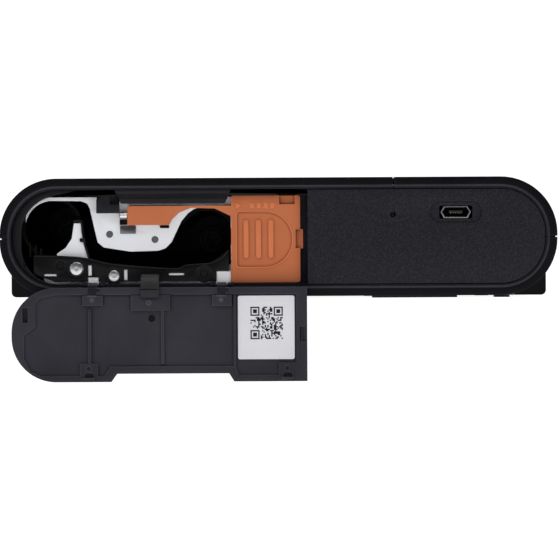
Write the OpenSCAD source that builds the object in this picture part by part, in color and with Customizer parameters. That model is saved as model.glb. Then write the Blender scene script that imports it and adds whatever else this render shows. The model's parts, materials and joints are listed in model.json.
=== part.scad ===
// Pocket ribbon printer for square adhesive prints, lying flat with its cartridge door hanging open.
// Millimetres. +X runs along the case, +Y goes from the door side to the back, +Z is up.
// The origin lies in the plane of the feet, under the middle of the case.
// Sizes in the door side are measured from a datum that keeps its distance from the left end.

/* [Case] */
// Length of the case, end to end
case_l = 143.3; // [138:0.1:172]
// Depth of the case, from the door side to the back
case_w = 102.2; // [98:0.1:123]
// Height of the case without its feet
case_h = 30.5; // [30.2:0.1:36.6]
// Radius of the four long edges that round the ends
end_r = 14.6; // [13.6:0.1:15]
// Thickness of the rim that frames each side face
rim_t = 2.9; // [2.4:0.1:3.5]
// Depth of that rim, inwards from the side face
rim_d = 3.4; // [3:0.1:4]
// Wall of the shells between the rims
wall = 1.5; // [1.2:0.1:1.8]
// Height of the seam between the lower shell and the two upper ones
seam_z = 15.7; // [13:0.1:19]
// Distance from the datum to the seam across the top
top_seam_x = 29.6; // [28:0.1:31]
// Width of the open joint between the two upper shells
seam_gap = 0.4; // [0.2:0.1:0.6]
// Height of the groove that shows along the seam between lower and upper shells
seam_groove_h = 0.3; // [0.2:0.05:0.5]
// Depth of that groove
seam_groove_d = 0.5; // [0.3:0.05:0.8]
// Width of the dark line left around each side panel
panel_reveal = 0.25; // [0.15:0.05:0.35]
// Depth of that line
panel_reveal_d = 0.6; // [0.4:0.05:0.8]
// Distance from the left end of the case to the datum of the mechanism
datum_from_end = 71.65; // [71:0.05:73]
// Distance from the right end of the case to the datum of the electronics
right_datum_from_end = 71.65; // [71:0.05:73]

/* [Feet and paper slots] */
// Height of the rubber feet
foot_h = 0.5; // [0.4:0.1:1]
// Depth of each rubber foot
foot_w = 7; // [5:0.5:10]
// Distance of the paper slot block from the end of the case
chin_inset = 2.35; // [1.8:0.05:3]
// Height of the paper slot block
chin_h = 8; // [7.6:0.1:9]
// Width of the paper slot block
chin_w = 84; // [80:0.5:88]
// Width of the paper slots and of the path between them
path_w = 76; // [73:0.5:78]
// Height of the paper slots
slot_h = 1.7; // [1.2:0.1:2]
// Thickness of a slot flap
flap_t = 0.6; // [0.5:0.05:0.8]
// Diameter of a slot flap's hinge pin
flap_pin_d = 0.7; // [0.6:0.05:0.8]

/* [Cartridge door] */
// Thickness of the door
door_t = 2.2; // [1.9:0.1:2.5]
// Length of the door along the case, from the inside of the rim
door_l = 76; // [72:0.1:77]
// Height of the hinge axis above the plane of the feet
hinge_z = 3.3; // [3.1:0.05:3.5]
// Gap between the hanging door and the side face
hang_gap = 0.3; // [0.3:0.05:0.6]
// Diameter of the hinge pins
hinge_pin_d = 0.8; // [0.7:0.05:1]
// Diameter of the hinge knuckles
knuckle_d = 1.8; // [1.7:0.1:2]
// Gap between moving knuckles, and round them
knuckle_gap = 0.3; // [0.25:0.05:0.5]
// Width of the door's retaining strap
strap_w = 4.8; // [3:0.1:6]

/* [Eject slider] */
// Thickness of the slider plate
slider_t = 1.8; // [1.5:0.1:2]
// Travel of the slider towards the right
slider_travel = 3; // [2:0.5:3.5]
// Diameter of the round end of the finger dish
dish_d = 14.4; // [13:0.1:15]
// Mean diameter of the return spring
spring_d = 2.2; // [2:0.1:2.6]
// Wire of the return spring
spring_wire = 0.35; // [0.3:0.05:0.45]

/* [Paper lid] */
// Length of the lid along the case
lid_l = 84; // [82:0.5:86]
// Width of the lid across the case
lid_w = 86; // [84:0.5:88]
// Thickness of the lid
lid_t = 2; // [1.7:0.1:2.2]
// Radius of the lid's hinge edge
lid_barrel_r = 2.4; // [2.2:0.1:2.6]
// Diameter of the lid's hinge pins
lid_pin_d = 1.6; // [1.4:0.1:2]

/* [Ribbon bay] */
// Diameter of the cartridge's supply lobe
supply_d = 14; // [13:0.1:14.4]
// Diameter of the cartridge's take-up lobe
takeup_d = 13.2; // [12:0.1:13.6]
// Depth of the bay from the side face
bay_depth = 86; // [80:0.5:88]
// Wall of the two bay troughs
trough_t = 0.8; // [0.6:0.1:1]
// Diameter of the drive and brake hubs
hub_d = 7; // [6:0.1:8]

/* [Rollers and gears] */
// Diameter of the platen's rubber
platen_d = 6.8; // [6:0.1:7]
// Diameter of the platen's shaft
platen_shaft_d = 3; // [2.5:0.1:3.2]
// Diameter of the feed shaft's gritted part
capstan_d = 4.4; // [4:0.1:4.8]
// Diameter of the feed shaft's journals
capstan_shaft_d = 3.6; // [3:0.1:3.8]
// Diameter of the pinch roller
pinch_d = 3.4; // [3:0.1:3.6]
// Diameter of the pinch roller's shaft
pinch_shaft_d = 1.6; // [1.4:0.1:2]
// Diameter of the pickup roller's tyres
pickup_d = 9.6; // [9:0.1:9.8]
// Diameter of the pickup roller's shaft
pickup_shaft_d = 3; // [2.5:0.1:4]
// Running clearance of every shaft in its bore, on the radius
run_fit = 0.05; // [0.02:0.01:0.08]
// Module of the gears
gear_m = 0.5; // [0.45:0.01:0.5]
// Face width of the gears
gear_w = 2; // [1.6:0.1:2.2]
// Play between meshing teeth
backlash = 0.1; // [0.08:0.01:0.14]
// Diameter of the fixed pins of the idler gears
gear_pin_d = 2; // [1.6:0.1:2.2]
// Thickness of the two chassis plates
chassis_t = 1; // [0.8:0.1:1.2]

/* [Print head] */
// Diameter of the head's pivot shaft
head_pivot_d = 2.4; // [2:0.1:3]

/* [Electronics] */
// Thickness of the main board
board_t = 1.2; // [1:0.1:1.6]
// Height of the underside of the main board
board_z = 19.3; // [18:0.1:19.5]
// Thickness of the battery
battery_t = 10.4; // [8:0.1:11]
// Diameter of the motor
motor_d = 12; // [11:0.5:12.5]
// Length of the motor
motor_l = 20; // [15:0.5:24]
// Diameter of the power button
button_d = 9; // [7:0.5:12]

/* [Hidden] */
$fn = 48;

// Case
left = -case_l / 2;
right = case_l / 2;
near = -case_w / 2;
far = case_w / 2;
top = foot_h + case_h;
floor_z = foot_h + wall;
dx = left + datum_from_end;
rx = right - right_datum_from_end;
seam_x = dx + top_seam_x;
rim_bottom = foot_h + rim_t;
rim_top = top - rim_t;
eps = 0.01;

// Layers behind the door side, measured from its face
frame_y0 = near + door_t + 0.2;
frame_y1 = near + rim_d + 1.5;
flange_y = near + rim_d;
plate_y0 = frame_y1;
plate_y1 = plate_y0 + chassis_t;
slider_y0 = near + door_t + 0.5;
slider_y1 = slider_y0 + slider_t;
panel_t = 1.6;
panel_x0 = dx + 7.5;

// Layers in front of the back face
rear_panel_y0 = far - 0.1 - panel_t;
far_plate_y1 = rear_panel_y0 - 6;
far_plate_y0 = far_plate_y1 - chassis_t;
layer_gap = 0.4;
gear_b_y = far_plate_y1 + layer_gap;
gear_a_y = gear_b_y + gear_w + layer_gap;

// Door, hanging open, and its axis
hinge_y = near - hang_gap / 2;
door_inner_y = 2 * hinge_y - near - door_t;
door_outer_y = 2 * hinge_y - near;
door_edge_gap = 0.3;
door_reach = rim_top - hinge_z - 0.1;
door_x0 = left + rim_t;
door_x1 = door_x0 + door_l;
knuckle_l = 2.4;
knuckle_xs = [dx - 47.7, dx - 14.6];

// Centres of the turning parts, as [x, z]
platen = [dx - 42.4, foot_h + 5.4];
capstan = [dx - 52.1, foot_h + 7.3];
pinch = capstan + (capstan_d / 2 + pinch_d / 2 + 0.3) * [-0.1, 0.995];
supply = [dx - 58.4, foot_h + 17.9];
takeup = [dx - 18.5, foot_h + 15.5];
motor_c = [dx + 4, foot_h + 12.1];
head_c = [dx - 28.6, foot_h + 17.4];

// Top of the case: lid, tray and pickup roller
lid_axis = [dx - 54.5, top - lid_barrel_r];
lid_x0 = lid_axis[0] - lid_barrel_r;
lid_x1 = lid_x0 + lid_l;
lid_gap = 0.35;
lid_z0 = top - lid_t;
tray_floor = top - 4.8;
tray_t = 0.8;
tray_x0 = lid_axis[0] + lid_barrel_r + 0.5;
tray_x1 = lid_x1 + 0.6;
pickup = [lid_x1 - 6.5, tray_floor - pickup_d / 2 + 0.3];

// Gears: tooth counts
platen_n = 12;
feed_n = 16;
feed_idler_n = 14;
link_n = 33;
takeup_n = 32;
reduction_n = 14;
reduction_big_n = 36;
pinion_n = 12;
pickup_idler_n = 26;
pickup_n = 16;
pressure_angle = 25;

// Where two circles of radii a and b round p and q cross, on the left of the way from p to q
function crossing(p, q, a, b) =
    let (d = norm(q - p), u = (q - p) / d, s = (a * a - b * b + d * d) / (2 * d))
    p + s * u + sqrt(max(0, a * a - s * s)) * [-u[1], u[0]];
function pitch_r(n) = n * gear_m / 2;
function centre_gap(a, b) = pitch_r(a) + pitch_r(b);

feed_idler = crossing(capstan, platen, centre_gap(feed_n, feed_idler_n), centre_gap(platen_n, feed_idler_n));
link = crossing(feed_idler, takeup, centre_gap(feed_idler_n, link_n), centre_gap(link_n, takeup_n));
reduction = crossing(takeup, motor_c, centre_gap(takeup_n, reduction_n),
    centre_gap(reduction_big_n, pinion_n));
pickup_idler = crossing(motor_c, pickup, centre_gap(pinion_n, pickup_idler_n),
    centre_gap(pickup_idler_n, pickup_n));

// Angle of a gear's first tooth so that it meshes with a gear of n1 teeth whose first tooth is at a1
function heading(p, q) = atan2(q[1] - p[1], q[0] - p[0]);
function mesh_angle(a1, n1, p, q, n2) =
    heading(p, q) + 180 - (0.5 - (heading(p, q) - a1) * n1 / 360) * 360 / n2;
platen_a = 0;
feed_idler_a = mesh_angle(platen_a, platen_n, platen, feed_idler, feed_idler_n);
feed_a = mesh_angle(feed_idler_a, feed_idler_n, feed_idler, capstan, feed_n);
link_a = mesh_angle(feed_idler_a, feed_idler_n, feed_idler, link, link_n);
takeup_a = mesh_angle(link_a, link_n, link, takeup, takeup_n);
reduction_a = mesh_angle(takeup_a, takeup_n, takeup, reduction, reduction_n);
pinion_a = mesh_angle(0, reduction_big_n, reduction, motor_c, pinion_n);
pickup_idler_a = mesh_angle(pinion_a, pinion_n, motor_c, pickup_idler, pickup_idler_n);
pickup_a = mesh_angle(pickup_idler_a, pickup_idler_n, pickup_idler, pickup, pickup_n);

// Involute tooth flank: half the angle of a tooth at radius r
function involute(a) = tan(a) * 180 / PI - a;
function flank(n, r) =
    let (base_r = pitch_r(n) * cos(pressure_angle))
    90 / n - backlash / 4 / pitch_r(n) * 180 / PI
    + involute(pressure_angle) - involute(acos(min(1, base_r / r)));
function gear_radii(n) =
    [pitch_r(n) - gear_m * 1.1, pitch_r(n) * cos(pressure_angle) + eps, pitch_r(n), pitch_r(n) + gear_m * 0.85];
function polar(r, a) = [r * cos(a), r * sin(a)];
function gear_outline(n, a0) = [
    for (i = [0:n - 1]) let (rs = gear_radii(n), a = a0 + i * 360 / n)
        for (k = [0:7])
            let (r = rs[k < 4 ? k : 7 - k])
            polar(r, a + (k < 4 ? -1 : 1) * flank(n, r))
];

// Upright slab between two depths, drawn as [x, z]
module slab(y0, y1) {
    translate([0, y1, 0]) rotate([90, 0, 0]) linear_extrude(y1 - y0) children();
}

module at(p) {
    translate([p[0], p[1]]) children();
}

// Round bar along Y
module bar(p, d, y0, y1) {
    slab(y0, y1) at(p) circle(d = d);
}

module box(x0, y0, z0, x1, y1, z1) {
    translate([x0, y0, z0]) cube([x1 - x0, y1 - y0, z1 - z0]);
}

// Rectangle with exact round corners
module rounded(x0, z0, x1, z1, r) {
    translate([x0 + r, z0]) square([x1 - x0 - 2 * r, z1 - z0]);
    translate([x0, z0 + r]) square([x1 - x0, z1 - z0 - 2 * r]);
    for (x = [x0 + r, x1 - r]) {
        for (z = [z0 + r, z1 - r]) {
            translate([x, z]) circle(r = r, $fn = 96);
        }
    }
}

// Outline of the case seen from the side, taken in by an inset
module case_face(inset) {
    rounded(left + inset, foot_h + inset, right - inset, top - inset, end_r - inset);
}

module between_x(x0, x1) {
    intersection() {
        children();
        translate([x0, foot_h - case_h]) square([x1 - x0, 3 * case_h]);
    }
}

// The whole case as an open tube, thicker along both rims
module case_tube() {
    difference() {
        slab(near, far) case_face(0);
        slab(near - 1, far + 1) case_face(rim_t);
        slab(near + rim_d, far - rim_d) case_face(wall);
    }
}

module gear(n, a0, c, bore, y0, w) {
    slab(y0, y0 + w) at(c) difference() {
        polygon(gear_outline(n, a0));
        circle(d = bore);
    }
}

// Paper slots, one at each end, with their flaps
chin_x1 = right - chin_inset;
slot_z = foot_h + 3.9;
flap_x = chin_x1 - 0.6;
flap_z = slot_z + slot_h + 0.45;
flap_l = path_w + 1;
flap_barrel_d = 1.1;
pocket_d = 0.9;

module mirrored_ends() {
    children();
    mirror([1, 0, 0]) children();
}

module chin() {
    slab(-chin_w / 2, chin_w / 2) difference() {
        rounded(chin_x1 - 12, foot_h, chin_x1, foot_h + chin_h, 1.3);
        case_face(wall);
    }
}

module chin_cut() {
    slab(-path_w / 2, path_w / 2) translate([chin_x1 - 16, slot_z]) square([17, slot_h]);
    slab(-flap_l / 2 - 0.4, flap_l / 2 + 0.4)
        translate([flap_x - pocket_d, slot_z - 1]) square([3, flap_z + pocket_d - slot_z + 1]);
    bar([flap_x, flap_z], flap_pin_d + 2 * run_fit, -flap_l / 2 - 1.6, flap_l / 2 + 1.6);
}

// Posts and bosses
post_d = 3.8;
screw_d = 2;
post_screws = [[left + 12.4, far_plate_y1 + 3], [dx - 2, plate_y1 + 3.4], [right - 12.4, far - rim_d - 2.6],
    [right - 12.4, near + rim_d + 2.6]];
board_x0 = rx + 36.6;
board_x1 = right - 6.2;
board_y1 = case_w / 2 - 8.6;
board_posts = [for (x = [board_x0 + 3, board_x1 - 3]) for (y = [-1, 1]) [x, y * (board_y1 - 1.9)]];
rib_xs = [rx + 38, rx + 52, right - 9];

module post(p, d, z0, z1) {
    translate([p[0], p[1], z0]) cylinder(d = d, h = z1 - z0);
}

module door_axis_rod(d, x0, x1) {
    translate([x0, hinge_y, hinge_z]) rotate([0, 90, 0]) cylinder(d = d, h = x1 - x0);
}

lug_l = 1.4;
lug_pitch = knuckle_l / 2 + knuckle_gap;

module lower_shell() color("#232427") difference() {
    union() {
        intersection() {
            case_tube();
            box(left - 1, near - 1, foot_h - 1, right + 1, far + 1, seam_z);
        }
        mirrored_ends() chin();
        for (x = knuckle_xs) {
            door_axis_rod(knuckle_d, x - lug_pitch - lug_l, x - lug_pitch);
            door_axis_rod(knuckle_d, x + lug_pitch, x + lug_pitch + lug_l);
        }
        for (i = [0, 2, 3]) {
            post(post_screws[i], post_d, floor_z, seam_z);
        }
        post(post_screws[1], post_d, floor_z, tray_floor - tray_t);
        for (p = board_posts) {
            post(p, 3, floor_z, board_z);
        }
        for (x = rib_xs) {
            box(x, -path_w / 2, floor_z, x + 1.2, path_w / 2, slot_z - 0.8);
        }
    }
    mirrored_ends() chin_cut();
    difference() {
        box(left - 1, near - 1, seam_z - seam_groove_h, right + 1, far + 1, seam_z + eps);
        box(left + seam_groove_d, near + seam_groove_d, seam_z - 1,
            right - seam_groove_d, far - seam_groove_d, seam_z + 1);
    }
    for (x = knuckle_xs) {
        door_axis_rod(knuckle_d + 2 * knuckle_gap, x - lug_pitch, x + lug_pitch);
        door_axis_rod(hinge_pin_d, x - lug_pitch - lug_l - 1, x + lug_pitch + lug_l + 1);
    }
    for (p = post_screws) {
        post(p, screw_d, foot_h - 1, seam_z - 3);
        post(p, 3.6, foot_h - 1, foot_h + 0.9);
    }
    for (p = board_posts) {
        post(p, 1.6, board_z - 6, board_z + 1);
    }
}

// Upper shells
seat_t = 1.2;
ear_d = 4.4;
ear_l = 2.7;
button_p = [rx + 50, 0];
light_p = [rx + 50, -12];
lid_y1 = lid_w / 2;

module top_half(x0, x1) {
    intersection() {
        case_tube();
        box(x0, near - 1, seam_z, x1, far + 1, top + 1);
    }
}

module lid_seat() {
    difference() {
        box(lid_x0 - lid_gap - seat_t, -lid_y1 - lid_gap - seat_t, lid_z0 - 1.1,
            lid_x1 + lid_gap + seat_t, lid_y1 + lid_gap + seat_t, top - wall + 0.1);
        box(lid_x0 - lid_gap, -lid_y1 + 0.9, lid_z0 - 2, lid_x1 - 0.9, lid_y1 - 0.9, top);
        box(lid_x0 - lid_gap, -lid_y1 - lid_gap, lid_z0 - 0.1, lid_x1 + lid_gap, lid_y1 + lid_gap, top);
        box(lid_x0 - 3, -lid_y1 - 3, lid_z0 - 2, lid_axis[0] + lid_barrel_r + lid_gap, lid_y1 + 3, top);
    }
}

module upper_shell() color("#232427") difference() {
    union() {
        difference() {
            top_half(left - 1, seam_x - seam_gap / 2);
            box(lid_x0 - lid_gap, -lid_y1 - lid_gap, top - wall - 1, lid_x1 + lid_gap, lid_y1 + lid_gap, top + 1);
        }
        lid_seat();
        for (y = [-lid_y1 - lid_gap - ear_l, lid_y1 + lid_gap]) {
            bar(lid_axis, ear_d, y, y + ear_l);
        }
        post(post_screws[0], post_d, seam_z, top - wall + 0.5);
    }
    bar(lid_axis, lid_pin_d, -lid_y1 - lid_gap - ear_l - 1, lid_y1 + lid_gap + ear_l + 1);
    post(post_screws[0], screw_d, seam_z - 1, seam_z + 6);
}

module front_shell() color("#232427") difference() {
    union() {
        top_half(seam_x + seam_gap / 2, right + 1);
        for (i = [2, 3]) {
            post(post_screws[i], post_d, seam_z, top - wall + 0.5);
        }
        translate([button_p[0], button_p[1], top - wall - 1.2]) cylinder(d = button_d + 4, h = 1.3);
    }
    post(button_p, button_d + 0.4, top - wall - 3, top + 1);
    post(button_p, button_d + 2.4, top - wall - 3, top - wall);
    post(light_p, 1.8, top - wall - 1, top + 1);
    for (i = [2, 3]) {
        post(post_screws[i], screw_d, seam_z - 1, seam_z + 6);
    }
}

// Side panels
usb_p = [rx + 45.6, foot_h + 21.4];
reset_p = [rx + 29.4, foot_h + 20.9];
usb_w = 8.5;
usb_h = 3.4;

module reveal_ring() {
    difference() {
        case_face(rim_t - 1);
        case_face(rim_t + panel_reveal);
    }
}

module side_panel() color("#2c2d30") difference() {
    slab(near + 0.1, near + 0.1 + panel_t) between_x(panel_x0, right) case_face(rim_t);
    slab(near - 1, near + 0.1 + panel_reveal_d) between_x(panel_x0 - 1, right) reveal_ring();
    bar(reset_p, 1.5, near - 1, near + 3);
    slab(near - 1, near + 3) at(usb_p) rounded(-usb_w / 2, -usb_h / 2, usb_w / 2, usb_h / 2, 0.5);
    slab(near - 1, near + 0.8) at(usb_p) rounded(-6.75, -2.85, 6.75, 2.85, 2.6);
}

module rear_panel() color("#2c2d30") difference() {
    slab(rear_panel_y0, rear_panel_y0 + panel_t) case_face(rim_t);
    slab(rear_panel_y0 + panel_t - panel_reveal_d, far + 1) reveal_ring();
}

// Feet
foot_rows = [[55.6, 3.8], [24.1, 21.8]];
centre_pad = 14;

module rubber_feet() color("#17181a") {
    for (side = [-1, 1]) {
        for (y = [near + 1.4, far - 1.4 - foot_w]) {
            for (row = foot_rows) {
                x = side > 0 ? right_row(row) : -right_row(row) - row[1];
                box(x, y, 0, x + row[1], y + foot_w, foot_h);
            }
        }
    }
    box(-centre_pad / 2, -centre_pad / 2, 0, centre_pad / 2, centre_pad / 2, foot_h);
}
function right_row(row) = rx + row[0];

module screw(p, z0, l, head_d, head_h, d) {
    difference() {
        union() {
            post(p, head_d, z0, z0 + head_h);
            post(p, d, z0, z0 + l);
        }
        translate([p[0], p[1], z0 - eps]) cylinder(d = head_d * 0.45, h = head_h * 0.6, $fn = 6);
    }
}

module case_screws() color("#8d8f92") {
    for (p = post_screws) {
        screw(p, foot_h + 0.1, 9, 3.4, 0.8, screw_d);
    }
}

// Cartridge door, drawn closed in [x, z] and turned over to hang
hook_xs = [dx - 48.7, dx + 2.2];
notch = [dx - 43, dx - 11.5];
notch_d = 2.1;

module door_outline() {
    difference() {
        intersection() {
            case_face(rim_t + 0.25);
            translate([left, hinge_z + door_edge_gap]) square([door_x1 - left, case_h]);
        }
        polygon([[notch[0], top], [notch[0], rim_top - 0.25], [notch[0] + 1.5, rim_top - notch_d - 0.25],
            [notch[1] - 1.3, rim_top - notch_d - 0.25], [notch[1], rim_top - 0.25], [notch[1], top]]);
    }
}

module hung() {
    translate([0, 2 * hinge_z]) mirror([0, 1]) children();
}

module pocket_outline() {
    polygon([[dx - 57.2, 1.1], [dx - 61.4, 0.2], [dx - 62.4, -1.6], [dx - 62.4, -7.1], [dx - 65.3, -9.2],
        [dx - 65.3, -15.2], [dx - 63.6, -18.6], [dx - 60.6, -19.7], [dx - 44.9, -19.7],
        [dx - 43.1, -17.3], [dx - 11.2, -17.3], [dx - 10.3, -19.7], [dx + 4.5, -19.7], [dx + 4.5, 1.1]]);
}

module door_box(x0, z0, x1, z1, h) {
    slab(door_inner_y - h, door_inner_y + 1) translate([x0, z0]) square([x1 - x0, z1 - z0]);
}

module cartridge_door() color("#3a3b3f") difference() {
    union() {
        difference() {
            slab(door_inner_y, door_outer_y) hung() door_outline();
            slab(door_inner_y - 1, door_inner_y + 0.6) pocket_outline();
            slab(door_inner_y - 1, door_inner_y + 1.4) translate([dx - 65.7, -6]) square([1.4, 3.8]);
            slab(door_inner_y - 1, door_inner_y + 1.2) translate([dx + 5.3, -11.1]) square([2.5, 3.8]);
        }
        for (x = knuckle_xs) {
            door_axis_rod(knuckle_d, x - knuckle_l / 2, x + knuckle_l / 2);
        }
        for (x = [dx - 48.5, dx - 29.8]) {
            door_box(x - 0.4, -16.6, x + 0.4, -2.6, 0);
        }
        door_box(dx - 11.6, -17.4, dx - 11, 0.8, 0);
        door_box(dx - 50.3, -1.7, dx - 45.1, 0.9, 0.3);
        door_box(dx - 17.1, -1.9, dx - 12.1, 0.9, 0.3);
        door_box(dx - 37.9, -3, dx - 27.9, 0.9, 0.3);
        for (x = hook_xs) {
            door_box(x - 2.3, -20.9, x + 2.3, -16.5, 0.1);
            door_box(x - 1.6, -20.7, x + 1.6, -20.1, 2);
        }
    }
    for (x = knuckle_xs) {
        for (side = [-1, 1]) {
            cx = x + side * (knuckle_l / 2 + (lug_l + 2 * knuckle_gap) / 2);
            door_axis_rod(knuckle_d + 2 * knuckle_gap, cx - lug_l / 2 - knuckle_gap,
                cx + lug_l / 2 + knuckle_gap);
        }
        door_axis_rod(hinge_pin_d + 2 * run_fit, x - knuckle_l, x + knuckle_l);
    }
}

module door_hinge_pins() color("#a9abad") {
    for (x = knuckle_xs) {
        door_axis_rod(hinge_pin_d, x - lug_pitch - lug_l, x + lug_pitch + lug_l);
    }
}

module door_label() color("#f2f2f0") {
    slab(door_inner_y + 0.5, door_inner_y + 0.6) rounded(dx - 10.5, -15.6, dx + 4, 0.7, 0.5);
}

// Strap over the hinge, drawn as [y, z]
module door_strap() color("#1b1b1d") {
    translate([dx - 33 - strap_w / 2, 0, 0]) rotate([90, 0, 90]) linear_extrude(strap_w)
        polygon([[frame_y0 + 0.4, 6.3], [frame_y0 - 3, 5.9], [door_inner_y - 0.9, 3.6], [door_inner_y - 0.9, 0.2],
            [door_inner_y - 0.3, 0.2], [door_inner_y - 0.3, 3.3], [frame_y0 - 3, 5.2], [frame_y0 + 0.4, 5.6]]);
}

// Frame round the mouth of the ribbon bay
lip_in = 2.5;
frame_z0 = rim_bottom + 0.45;
frame_z1 = rim_top - 1.5;
slider_x1 = dx + 5.6;
frame_x1 = slider_x1 + slider_travel + 5.4;

module bay_frame() color("#2a2b2e") difference() {
    union() {
        slab(frame_y0, frame_y1) difference() {
            between_x(left, frame_x1) case_face(rim_t);
            rounded(left + rim_t + lip_in, frame_z0, right, frame_z1, 9.6);
        }
        slab(frame_y1 - 0.3, frame_y1) difference() {
            translate([dx - 12.1, frame_z0 - 0.1]) square([frame_x1 - dx + 12.1, frame_z1 - frame_z0 + 0.2]);
            for (p = rod_ps) {
                at(p) circle(d = rod_head_d + 0.6);
            }
        }
        slab(frame_y0, frame_y1) translate([dx - 46.9, rim_top - 6]) square([3.4, 6]);
        slab(slider_y0 + 1.1, frame_y1) translate([dx - 44, rim_top - 6]) square([3, 6]);
        slab(frame_y0, frame_y1) translate([dx - 46.9, rim_top - 6]) square([5.9, 2.2]);
    }
    for (x = hook_xs) {
        slab(frame_y0 - 1, frame_y1 - 0.4)
            translate([x - 2.6, frame_z1 - 1]) square([5.2, rim_top - frame_z1 + 0.9]);
    }
    slab(frame_y0 - 1, frame_y1 - 0.6) translate([dx - 65.7, 8.3]) square([0.7, 4.1]);
}

// Fixed grip above the ribbon bay, drawn as [y, z]
module grip_panel() color("#2c2d30") {
    intersection() {
        translate([dx - 46, 0, 0]) rotate([90, 0, 90]) linear_extrude(36)
            polygon([[near + 0.1, rim_top], [near + 0.1, rim_top - 1], [frame_y0 + 0.1, rim_top - 2.4],
                [frame_y0 + 0.1, rim_top - 3.6], [slider_y0 + 1, rim_top - 3.6], [slider_y0 + 1, rim_top - 1.5],
                [frame_y0, rim_top - 1.5], [frame_y0, rim_top]]);
        slab(near, near + 10) polygon([[notch[0] + 0.8, rim_top], [notch[0] + 2.4, rim_top - 3.6],
            [notch[1] - 2.3, rim_top - 3.6], [notch[1] - 0.7, rim_top]]);
    }
}

// Eject slider
arm_top = rim_top - 4.2;
dish_c = [dx - 3.5, 15.2];
rib_pitch = 3.2;

module slider_outline() {
    difference() {
        union() {
            rounded(dx - 12.2, frame_z0 + 0.2, slider_x1, rim_top - 1.6, 0.6);
            polygon([[dx - 38.9, arm_top - 4.9], [dx - 28.2, arm_top - 4.9], [dx - 27.4, arm_top - 3.4],
                [dx - 25.6, arm_top - 1.7], [dx - 22.6, arm_top - 0.5], [dx - 16.4, arm_top - 0.7],
                [dx - 12, arm_top - 2.8], [dx - 12, arm_top], [dx - 38.9, arm_top]]);
        }
        translate([dx + 0.2, rim_top - 3.9]) square([4, 5]);
        translate([slider_x1 - 1.2, 12.9]) square([3, 4.8]);
    }
}

module dish_outline() {
    at(dish_c) circle(d = dish_d, $fn = 96);
    translate([dx - 10.8, dish_c[1] - dish_d / 2]) square([7.3, dish_d]);
}

module eject_slider() color("#c8744a") {
    difference() {
        slab(slider_y0, slider_y1) slider_outline();
        slab(slider_y0 - 1, slider_y0 + 0.5) dish_outline();
    }
    for (i = [0:2]) {
        x = dx - 9 + i * rib_pitch;
        slab(slider_y0 + 0.1, slider_y0 + 0.6) rounded(x, 10.3, x + 1.3, 20.2, 0.6);
    }
    slab(slider_y1, frame_y1 - 0.05) translate([dx - 38.9, arm_top - 4.3]) square([1.2, 3.6]);
}

// Return spring behind the arm's left end, stood in for by its outer tube
spring_x0 = dx - 41 + 0.1;
spring_x1 = dx - 38.9;

module eject_spring() color("#b9bbbd") {
    translate([spring_x0, slider_y0 + 1.1, arm_top - 2.4]) rotate([0, 90, 0]) difference() {
        cylinder(d = spring_d, h = spring_x1 - spring_x0);
        translate([0, 0, -1]) cylinder(d = spring_d - 2 * spring_wire, h = spring_x1 - spring_x0 + 2);
    }
}

// Mouth of the ribbon bay, drawn as [x, z]
module channel_outline() {
    polygon([[dx - 58.4, supply[1] - supply_d / 2], [dx - 57, 10.2], [dx - 49.7, 10], [dx - 43.3, 8.6],
        [dx - 29.2, 7.4], [dx - 25.3, 7.4], [dx - 24.1, 8.2], [dx - 18.5, 8.8], [dx - 12.3, 8.8],
        [dx - 12.3, 21.6], [dx - 16.4, 23.6], [dx - 20.4, 23.6], [dx - 22, 23], [dx - 23.3, 22.1],
        [dx - 25, 20.1], [dx - 26.6, 16.8], [dx - 27.6, 14.6], [dx - 29.2, 13],
        [dx - 31, 12.4], [dx - 38.2, 12.2], [dx - 45.1, 13.3], [dx - 46.7, 14.6], [dx - 48.7, 23.4],
        [dx - 49.4, 24.7], [dx - 51, 25.3], [dx - 58.4, supply[1] + supply_d / 2]]);
}

module mouth_outline() {
    channel_outline();
    at(supply) circle(d = supply_d, $fn = 96);
    at(takeup) circle(d = takeup_d, $fn = 96);
}

// White strut that parts the supply lobe from the ribbon's way out
module strut_outline() {
    polygon([[dx - 58.4, 11], [dx - 58.4, 9.6], [dx - 49, 9.6], [dx - 49.2, 10.6], [dx - 50.2, 14], [dx - 51, 19.6],
        [dx - 52.8, 19.6], [dx - 53.4, 15.6], [dx - 55, 13.2]]);
}

plate_x0 = left + 6.4;
plate_x1 = dx + 26;

module plate_blank(plate_top) {
    polygon([[plate_x0, 19.5], [plate_x0, 22.6], [plate_x0 + 2.4, plate_top], [plate_x1, plate_top],
        [plate_x1, floor_z], [dx - 59, floor_z], [dx - 60.6, 5], [dx - 60.6, 9], [dx - 57.2, 10.4],
        [dx - 57.2, 12.6], [dx - 62.6, 13.8]]);
}

module plate_bores(clear) {
    at(platen) circle(d = platen_shaft_d + 2 * clear);
    at(capstan) circle(d = capstan_shaft_d + 2 * clear);
    at(pickup) circle(d = pickup_shaft_d + 2 * run_fit);
}

rod_ps = [[dx - 10, 23.3], [dx + 14, 8.4]];
rod_d = 2.6;
rod_head_d = 3;

module chassis_plate() color("#e9eaec") difference() {
    slab(plate_y0, plate_y1) difference() {
        plate_blank(tray_floor + 0.1);
        difference() {
            mouth_outline();
            strut_outline();
        }
        plate_bores(0.4);
        translate([dx - 41, 19.1]) square([2, 3.3]);
        at([dx - 43.6, 16.7]) circle(d = 1.8);
        at([dx - 31.9, 15.3]) circle(d = 1.8);
    }
}

module rear_chassis_plate() color("#c9cbce") {
    slab(far_plate_y0, far_plate_y1) difference() {
        plate_blank(tray_floor - 0.3);
        plate_bores(run_fit);
        at(pinch) circle(d = pinch_shaft_d + 2 * run_fit);
        at(head_c) circle(d = head_pivot_d);
        for (p = [supply, takeup]) {
            at(p) circle(d = hub_shaft_d + 2 * run_fit);
        }
        at(motor_c) circle(d = 5);
    }
}

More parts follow.
